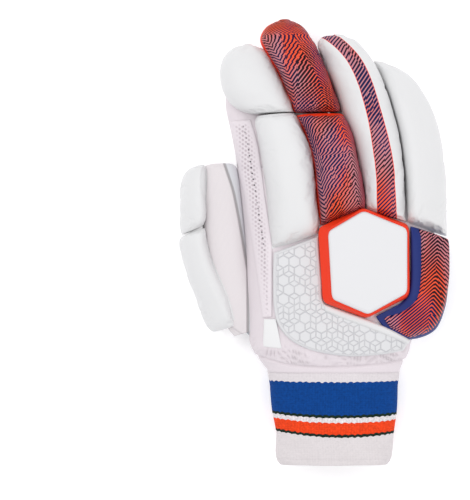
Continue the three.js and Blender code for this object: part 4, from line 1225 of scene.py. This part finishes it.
# %% Knuckle shield
SHIELD_BASE = 0.79 * KNUCKLE_HEIGHT
SHIELD_FALL = 0.16
SHIELD_MIDDLE = 0.23 * HAND_WIDTH
SHIELD_DEPTH = 8.5 * MM
SHIELD_FACE_DEPTH = 4 * MM
RIM_FOOT = np.array([[0.98, -1.6], [1.0, -1.5], [1.0, 0.0], [1.0, 0.3]]) * [1, SHIELD_DEPTH]
RIM_LIP = np.array([[1.035, 0.86], [1.025, 0.96], [1.005, 1.0]]) * [1, SHIELD_DEPTH]


def outline(corners, share=0.1, count=240):
    """A closed outline of even steps whose corners are rounded by parabolas a share of each side long."""
    points = corners * PLACE[:2]
    before, after = np.roll(points, 1, 0), np.roll(points, -1, 0)
    start, end = points + (before - points) * share, points + (after - points) * share
    t = np.linspace(0, 1, 12)[None, :, None]
    curve = (1 - t) ** 2 * start[:, None] + 2 * t * (1 - t) * points[:, None] + t**2 * end[:, None]
    curve = curve.reshape(-1, 2)
    curve = np.vstack([curve, curve[:1]])
    length = walked(curve)
    even = np.linspace(0, length[-1], count, endpoint=False)
    return np.stack([np.interp(even, length, curve[:, k]) for k in (0, 1)], axis=1)


def shield_top(points):
    """The shield's underside, falling towards the little finger."""
    return SHIELD_BASE - SHIELD_FALL * (points[..., 0] - SHIELD_MIDDLE)


def lifted(line, profile, height):
    """The outline drawn in by each scale of the profile about its middle, and lifted by each lift."""
    middle = line.mean(0)
    grid = middle + (line - middle)[None] * profile[:, :1, None]
    return np.concatenate([grid, (height(grid) + profile[:, 1:2])[..., None]], axis=2)


def rim():
    """The wide outline at the foot, a lip along the narrow one, and a straight wall between them."""
    lower = lifted(outline(SHIELD_RIM_CORNERS), RIM_FOOT, shield_top)
    upper = lifted(outline(SHIELD_FACE_CORNERS), RIM_LIP, shield_top)
    wall = lower[-1] + (upper[0] - lower[-1]) * np.linspace(0, 1, 14)[1:-1, None, None]
    grid = np.concatenate([lower, wall, upper])
    return closed("shield_rim_skin", grid, orange_leather, "knuckle_shield_rim")


def face():
    """A quarter circle up the edge, then a crown that rises with 1 - scale^2 to the middle."""
    foot = SHIELD_DEPTH + GAP
    turn = np.linspace(0, 0.5 * np.pi, 14)
    edge = np.stack([0.935 + 0.045 * np.cos(turn), foot + 0.85 * SHIELD_FACE_DEPTH * np.sin(turn)], axis=1)
    crown = np.linspace(0.93, 0.05, 24)
    middle = np.stack([crown, foot + SHIELD_FACE_DEPTH * (0.85 + 0.3 * (1 - crown**2))], axis=1)
    grid = lifted(outline(SHIELD_FACE_CORNERS), np.vstack([edge, middle]), shield_top)
    piece = closed("shield_face_padding", grid, shield_leather, "knuckle_shield")


rim()
face()

# %% [markdown]
# The side guard wraps from the shield round the outer edge of the hand. Its blue skin is a loft like
# the rolls, and its printed face is the same loft, set in from the inner edge and a little higher.

# %% Side guard
GUARD_FACE_DEPTH = 3.4 * MM
SKIN_THICKNESS = 2 * MM
GUARD_RINGS, GUARD_SIDES = 120, 96
GUARD_SPINE = plan([(438, 240), (435, 290), (428, 330)], 0.045)
FLAT_DROP = 11 * MM
DROP_FADE = np.array([-45, -25]) * MM


def guard_face_rows():
    """The rim's rows set in by a share at each side, and lifted by the face's depth."""
    low = np.clip((np.arange(len(SIDE_RIM) - 1) - 3) / 3, 0, 1)[:, None]
    low = low * low * (3 - 2 * low)
    inner, outer = 0.2 - 0.06 * low, 0.035 + 0.03 * low
    rows = SIDE_RIM[:-1]
    left, right = rows[:, :3], rows[:, 3:6]
    rise = rows[:, 6:7] + (GUARD_FACE_DEPTH + GAP) / KNUCKLE_HEIGHT
    return np.hstack([left + (right - left) * inner, right + (left - right) * outer, rise, 0 * rise + 0.1])


def guard_print(grid):
    """Along the guard, and minus the distance from its spine in plan plus the fall beyond FLAT_DROP.

    The fall counts fully above the second line of DROP_FADE and not at all below the first.
    """
    fallen = np.maximum(grid[..., 2].max(1, keepdims=True) - grid[..., 2] - FLAT_DROP, 0)
    counts = np.clip((grid[..., 1] - DROP_FADE[0]) / (DROP_FADE[1] - DROP_FADE[0]), 0, 1)
    beside = -np.abs(grid[..., 0] - x_on(GUARD_SPINE, grid[..., 1])) - fallen * counts
    return np.stack([grid[..., 1], beside, 0 * beside], axis=2)


def eased(values, reach=16):
    """The mean of each value and of its neighbours up to `reach` rings to each side."""
    wide = np.pad(values, ((reach, reach), (0, 0)), mode="edge")
    total = np.pad(np.cumsum(wide, axis=0), ((1, 0), (0, 0)))
    span = 2 * reach + 1
    return (total[span:] - total[:-span]) / span


def guard():
    """The skin seated on the hand, and the printed face seated on the skin and eased along its length,
    so that its outer edge has no step where the skin ends under it."""
    loft_of = lambda rows: rings(smooth(rows, GUARD_RINGS), GUARD_SIDES, ROLL_POWER)
    skin = domed(seat(loft_of(SIDE_RIM), HAND_SEAT, SKIN_THICKNESS))
    closed("side_guard_skin", skin, blue_leather, "side_guard_rim")
    grid = seat(loft_of(guard_face_rows()), [(SIDE_RIM, ROLL_POWER)] + HAND_SEAT, SKIN_THICKNESS)
    grid[..., 2] = eased(grid[..., 2])
    grid = domed(grid)
    lays = {"print": guard_print(grid)}
    piece = closed("side_guard_padding", grid, printed_leather, "side_guard", lays)


guard()

# %% [markdown]
# The panel, the welt across it, the mesh strip and the tag all lie on the back of the hand. Each is a
# patch between two edge lines, dropped onto what lies under it and rounded down at its edges. It
# keeps the distances from its edges, so that a finish can leave a plain border or feather out.

# %% Pieces laid on the back of the hand
PANEL_THICKNESS = 3 * MM
WELT_THICKNESS = 4.6 * MM
MESH_THICKNESS = 1.3 * MM
TAG_THICKNESS = 1.2 * MM
BACK = [(HAND, HAND_POWER), (STALL_INDEX, STALL_POWER)]
LOWEST_BACK = 0.2 * KNUCKLE_HEIGHT


def draped(name, rows, thickness, finish, node, across=90, count=120, round_off=2.0 * MM, edge=0.35):
    """A patch between its edge lines: the height under it plus its thickness, rounded off at its edge."""
    lines = smooth(rows, count) if len(rows) > 2 else rows * UNITS[[0, 1, 0, 1]]
    t = np.linspace(0, 1, across)[None, :, None]
    flat = lines[:, None, :2] * (1 - t) + lines[:, None, 2:] * t
    side, end = walked(flat, 1), walked(flat)
    inset = np.minimum(np.minimum(side, side[:, -1:] - side), np.minimum(end, end[-1:] - end))
    rounded = np.sqrt(1 - (1 - np.clip(inset / round_off, 0, 1)) ** 2)
    back = np.max([top_of(rows, power, flat[..., 0], flat[..., 1]) for rows, power in BACK], axis=0)
    back = np.maximum(back, LOWEST_BACK)
    top = np.concatenate([flat, (back + GAP + thickness * (edge + (1 - edge) * rounded))[..., None]], axis=2)
    under = np.concatenate([flat, (back + GAP)[..., None]], axis=2)
    strip = np.stack([-flat[..., 1], side, side[:, -1:] + 0 * side], axis=2)
    border = np.stack([inset, side, end], axis=2)
    return slab(name, top, under, finish, node, {"strip": strip, "border": border})


draped("embossed_panel_leather", PANEL, PANEL_THICKNESS, embossed_leather, "lattice_panel")
draped("panel_welt_leather", WELT, WELT_THICKNESS, white_leather, "panel_welt", 40)
draped("mesh_strip_cloth", GUSSET, MESH_THICKNESS, mesh_cloth, "side_gusset", 40, 120, 3.2 * MM, 0.1)

TAG_CORNERS = plan([(264, 319), (276, 319), (263, 347), (282, 349)], 0.045)


def tag():
    """The tag's four corners, as a patch of many rows."""
    corners = (TAG_CORNERS / PLACE[:2]).reshape(2, 4)
    shares = np.linspace(0, 1, 40)[:, None]
    rows = corners[:1] * (1 - shares) + corners[1:] * shares
    draped("side_tag_cloth", rows, TAG_THICKNESS, tag_cloth, "label_tag", 24, 40, 0.6 * MM)


tag()

# %% [markdown]
# The palm side lies on the table. Its two leather facings and the strap are flat sheets with
# rounded corners.

# %% Palm leathers and strap
PALM_LEATHER = 1 * MM
STRAP_THICKNESS = 2 * MM


def flat_sheet(name, corners, share, thickness, finish, node):
    """An outline lifted from the table to its thickness, with a small round at its upper edge."""
    profile = np.array([[0.985, 0.0], [1.0, 0.2], [1.0, 0.7], [0.985, 1.0]]) * [1, thickness]
    grid = lifted(outline(corners, share), profile, lambda flat: np.zeros(flat.shape[:2]))
    return closed(name, grid, finish, node)


for name, corners, node in [
    ("palm_strip_leather", PALM_STRIP_CORNERS, "palm_strip"),
    ("thumb_patch_leather", THUMB_PATCH_CORNERS, "thumb_patch"),
]:
    flat_sheet(name, corners, 0.3, PALM_LEATHER, palm_leather, node)
flat_sheet("closing_strap", STRAP_CORNERS, 0.12, STRAP_THICKNESS, strap_cloth, "wrist_strap")

# %% [markdown]
# The cuff is a knitted tube, open at the wrist. Its bands sag in the middle and run a little lower
# on the right, more so further down, as the knit stretches over the wrist. Each point keeps its
# distance down the cuff less that sag. Near the end the knit is turned in and sewn, which leaves a
# groove.

# %% Cuff
KNIT_WALL = 2.6 * MM
KNIT_RINGS, KNIT_SIDES = 110, 300
CUFF_POWER = 2.5
CUFF_FLOOR = STRAP_THICKNESS + GAP
HEM_SHARE = 0.945


def cuff():
    """A tube of superellipses whose edges and upper side come from the cuff's table. The hem is a
    groove, the outside is softly uneven, and the bands sag by 1 - reach^2 towards the middle."""
    start = HAND[0, 1] * GLOVE_LENGTH - GAP
    share = np.linspace(0, 1, KNIT_RINGS)
    left, right, _, top = (np.interp(share, CUFF[:, 2], CUFF[:, k]) for k in range(4))
    left, right, top = left * HAND_WIDTH, right * HAND_WIDTH, top * KNUCKLE_HEIGHT
    low = np.full_like(share, CUFF_FLOOR)
    half = (top - low) / 2
    y = start - share * CUFF_LENGTH
    sections = np.stack([left, y, low + half, right, y, low + half, half, half], axis=1)
    outer = rings(sections, KNIT_SIDES, CUFF_POWER, floor=CUFF_FLOOR)
    hem = 0.45 * MM * np.exp(-(((share - HEM_SHARE) * CUFF_LENGTH / (0.8 * MM)) ** 2))
    slow = waves(outer[..., :2], [(22, 9), (35, -13), (12, 26)], 8)
    uneven = 0.5 * MM * slow * np.clip(share * 6, 0, 1)[:, None] * (outer[..., 2] > 15 * MM)
    tucked = 0.5 * MM * (1 - np.clip(share * CUFF_LENGTH / (3.5 * MM), 0, 1)) ** 2
    outer = outer + normals(outer) * (uneven - (hem + tucked)[:, None])[..., None]
    outer[..., 2] = np.maximum(outer[..., 2], CUFF_FLOOR)
    inner = rings(sections, KNIT_SIDES, CUFF_POWER, grow=-KNIT_WALL, floor=CUFF_FLOOR + KNIT_WALL)
    lay = lay_of(outer)
    reach = (outer[..., 0] - (left + right)[:, None] / 2) / ((right - left)[:, None] / 2)
    lower = np.maximum(share - 0.13, 0)[:, None]
    sag = (0.6 + 4.2 * lower) * (1 - reach**2) + 2.7 * lower * (1 + reach) / 2
    band = share[:, None] * CUFF_LENGTH - sag * MM
    lays = {"lay": np.concatenate([lay, band[..., None]], axis=2)}
    return hollow("cuff_knit", outer, inner, cuff_knit, "cuff", open_far=True, lays=lays)


cuff()

# %% [markdown]
# The picture is taken from straight above. A long lens keeps the sides of the rolls out of sight,
# and two soft boxes and a bright room give the even light of a catalogue picture. The table glows a
# little, as a light table does, so the glove stands on white with only a faint shadow round it.

# %% Floor, light and camera
PIXELS_TALL = 500


def floor():
    """One square of glowing paper, six metres wide."""
    mesh = meshed("table", [(-3, -3, 0), (3, -3, 0), (3, 3, 0), (-3, 3, 0)], [(0, 1, 2, 3)])
    paper = Finish("table_paper", Roughness=0.9, Emission_Color=(1, 1, 1, 1), Emission_Strength=0.28)
    paper.feed("Base Color", paper.mix(paper.noise(30.0), (0.88, 0.88, 0.885), (0.90, 0.90, 0.90)))
    mesh.materials.append(paper.material)
    placed("table", mesh)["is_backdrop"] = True


def soft_box(name, place, size, power):
    """An area light aimed at the middle of the glove."""
    light = bpy.data.lights.new(name, "AREA")
    light.shape, light.size, light.energy = "DISK", size, power
    lamp = placed(name, light)
    lamp.location = place
    lamp.rotation_euler = (-Vector(place)).to_track_quat("-Z", "Y").to_euler()


def camera():
    """A camera straight above, whose lens makes a pixel of the picture PIXEL wide on the glove."""
    lens = bpy.data.cameras.new("camera")
    lens.sensor_fit, lens.sensor_height = "VERTICAL", 36
    lens.lens = 36 * (CAMERA_HEIGHT - SUBJECT_HEIGHT) / (PIXELS_TALL * PIXEL)
    lens.clip_end = 20
    eye = placed("camera", lens)
    eye.location = (*plan(CAMERA_PIXEL, 0), CAMERA_HEIGHT)
    bpy.context.scene.camera = eye


floor()
soft_box("key_soft_box", (-0.7, 0.8, 1.8), 1.8, 14)
soft_box("fill_soft_box", (1.1, -0.5, 1.5), 1.8, 8)
world = bpy.data.worlds.new("studio")
world.use_nodes = True
room = world.node_tree.nodes["Background"].inputs
room["Color"].default_value, room["Strength"].default_value = (0.98, 0.98, 1.0, 1), 0.80
bpy.context.scene.world = world
bpy.context.scene.view_settings.view_transform = "Standard"
camera()

# %% [markdown]
# Last, the dressed glove's box is set beside the imported model's box, so that the two can be
# compared.

# %% Sizes
plain = lambda box: [[float(value) for value in corner] for corner in box]
{"cad": plain(cad_box), "visual": plain(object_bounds())}
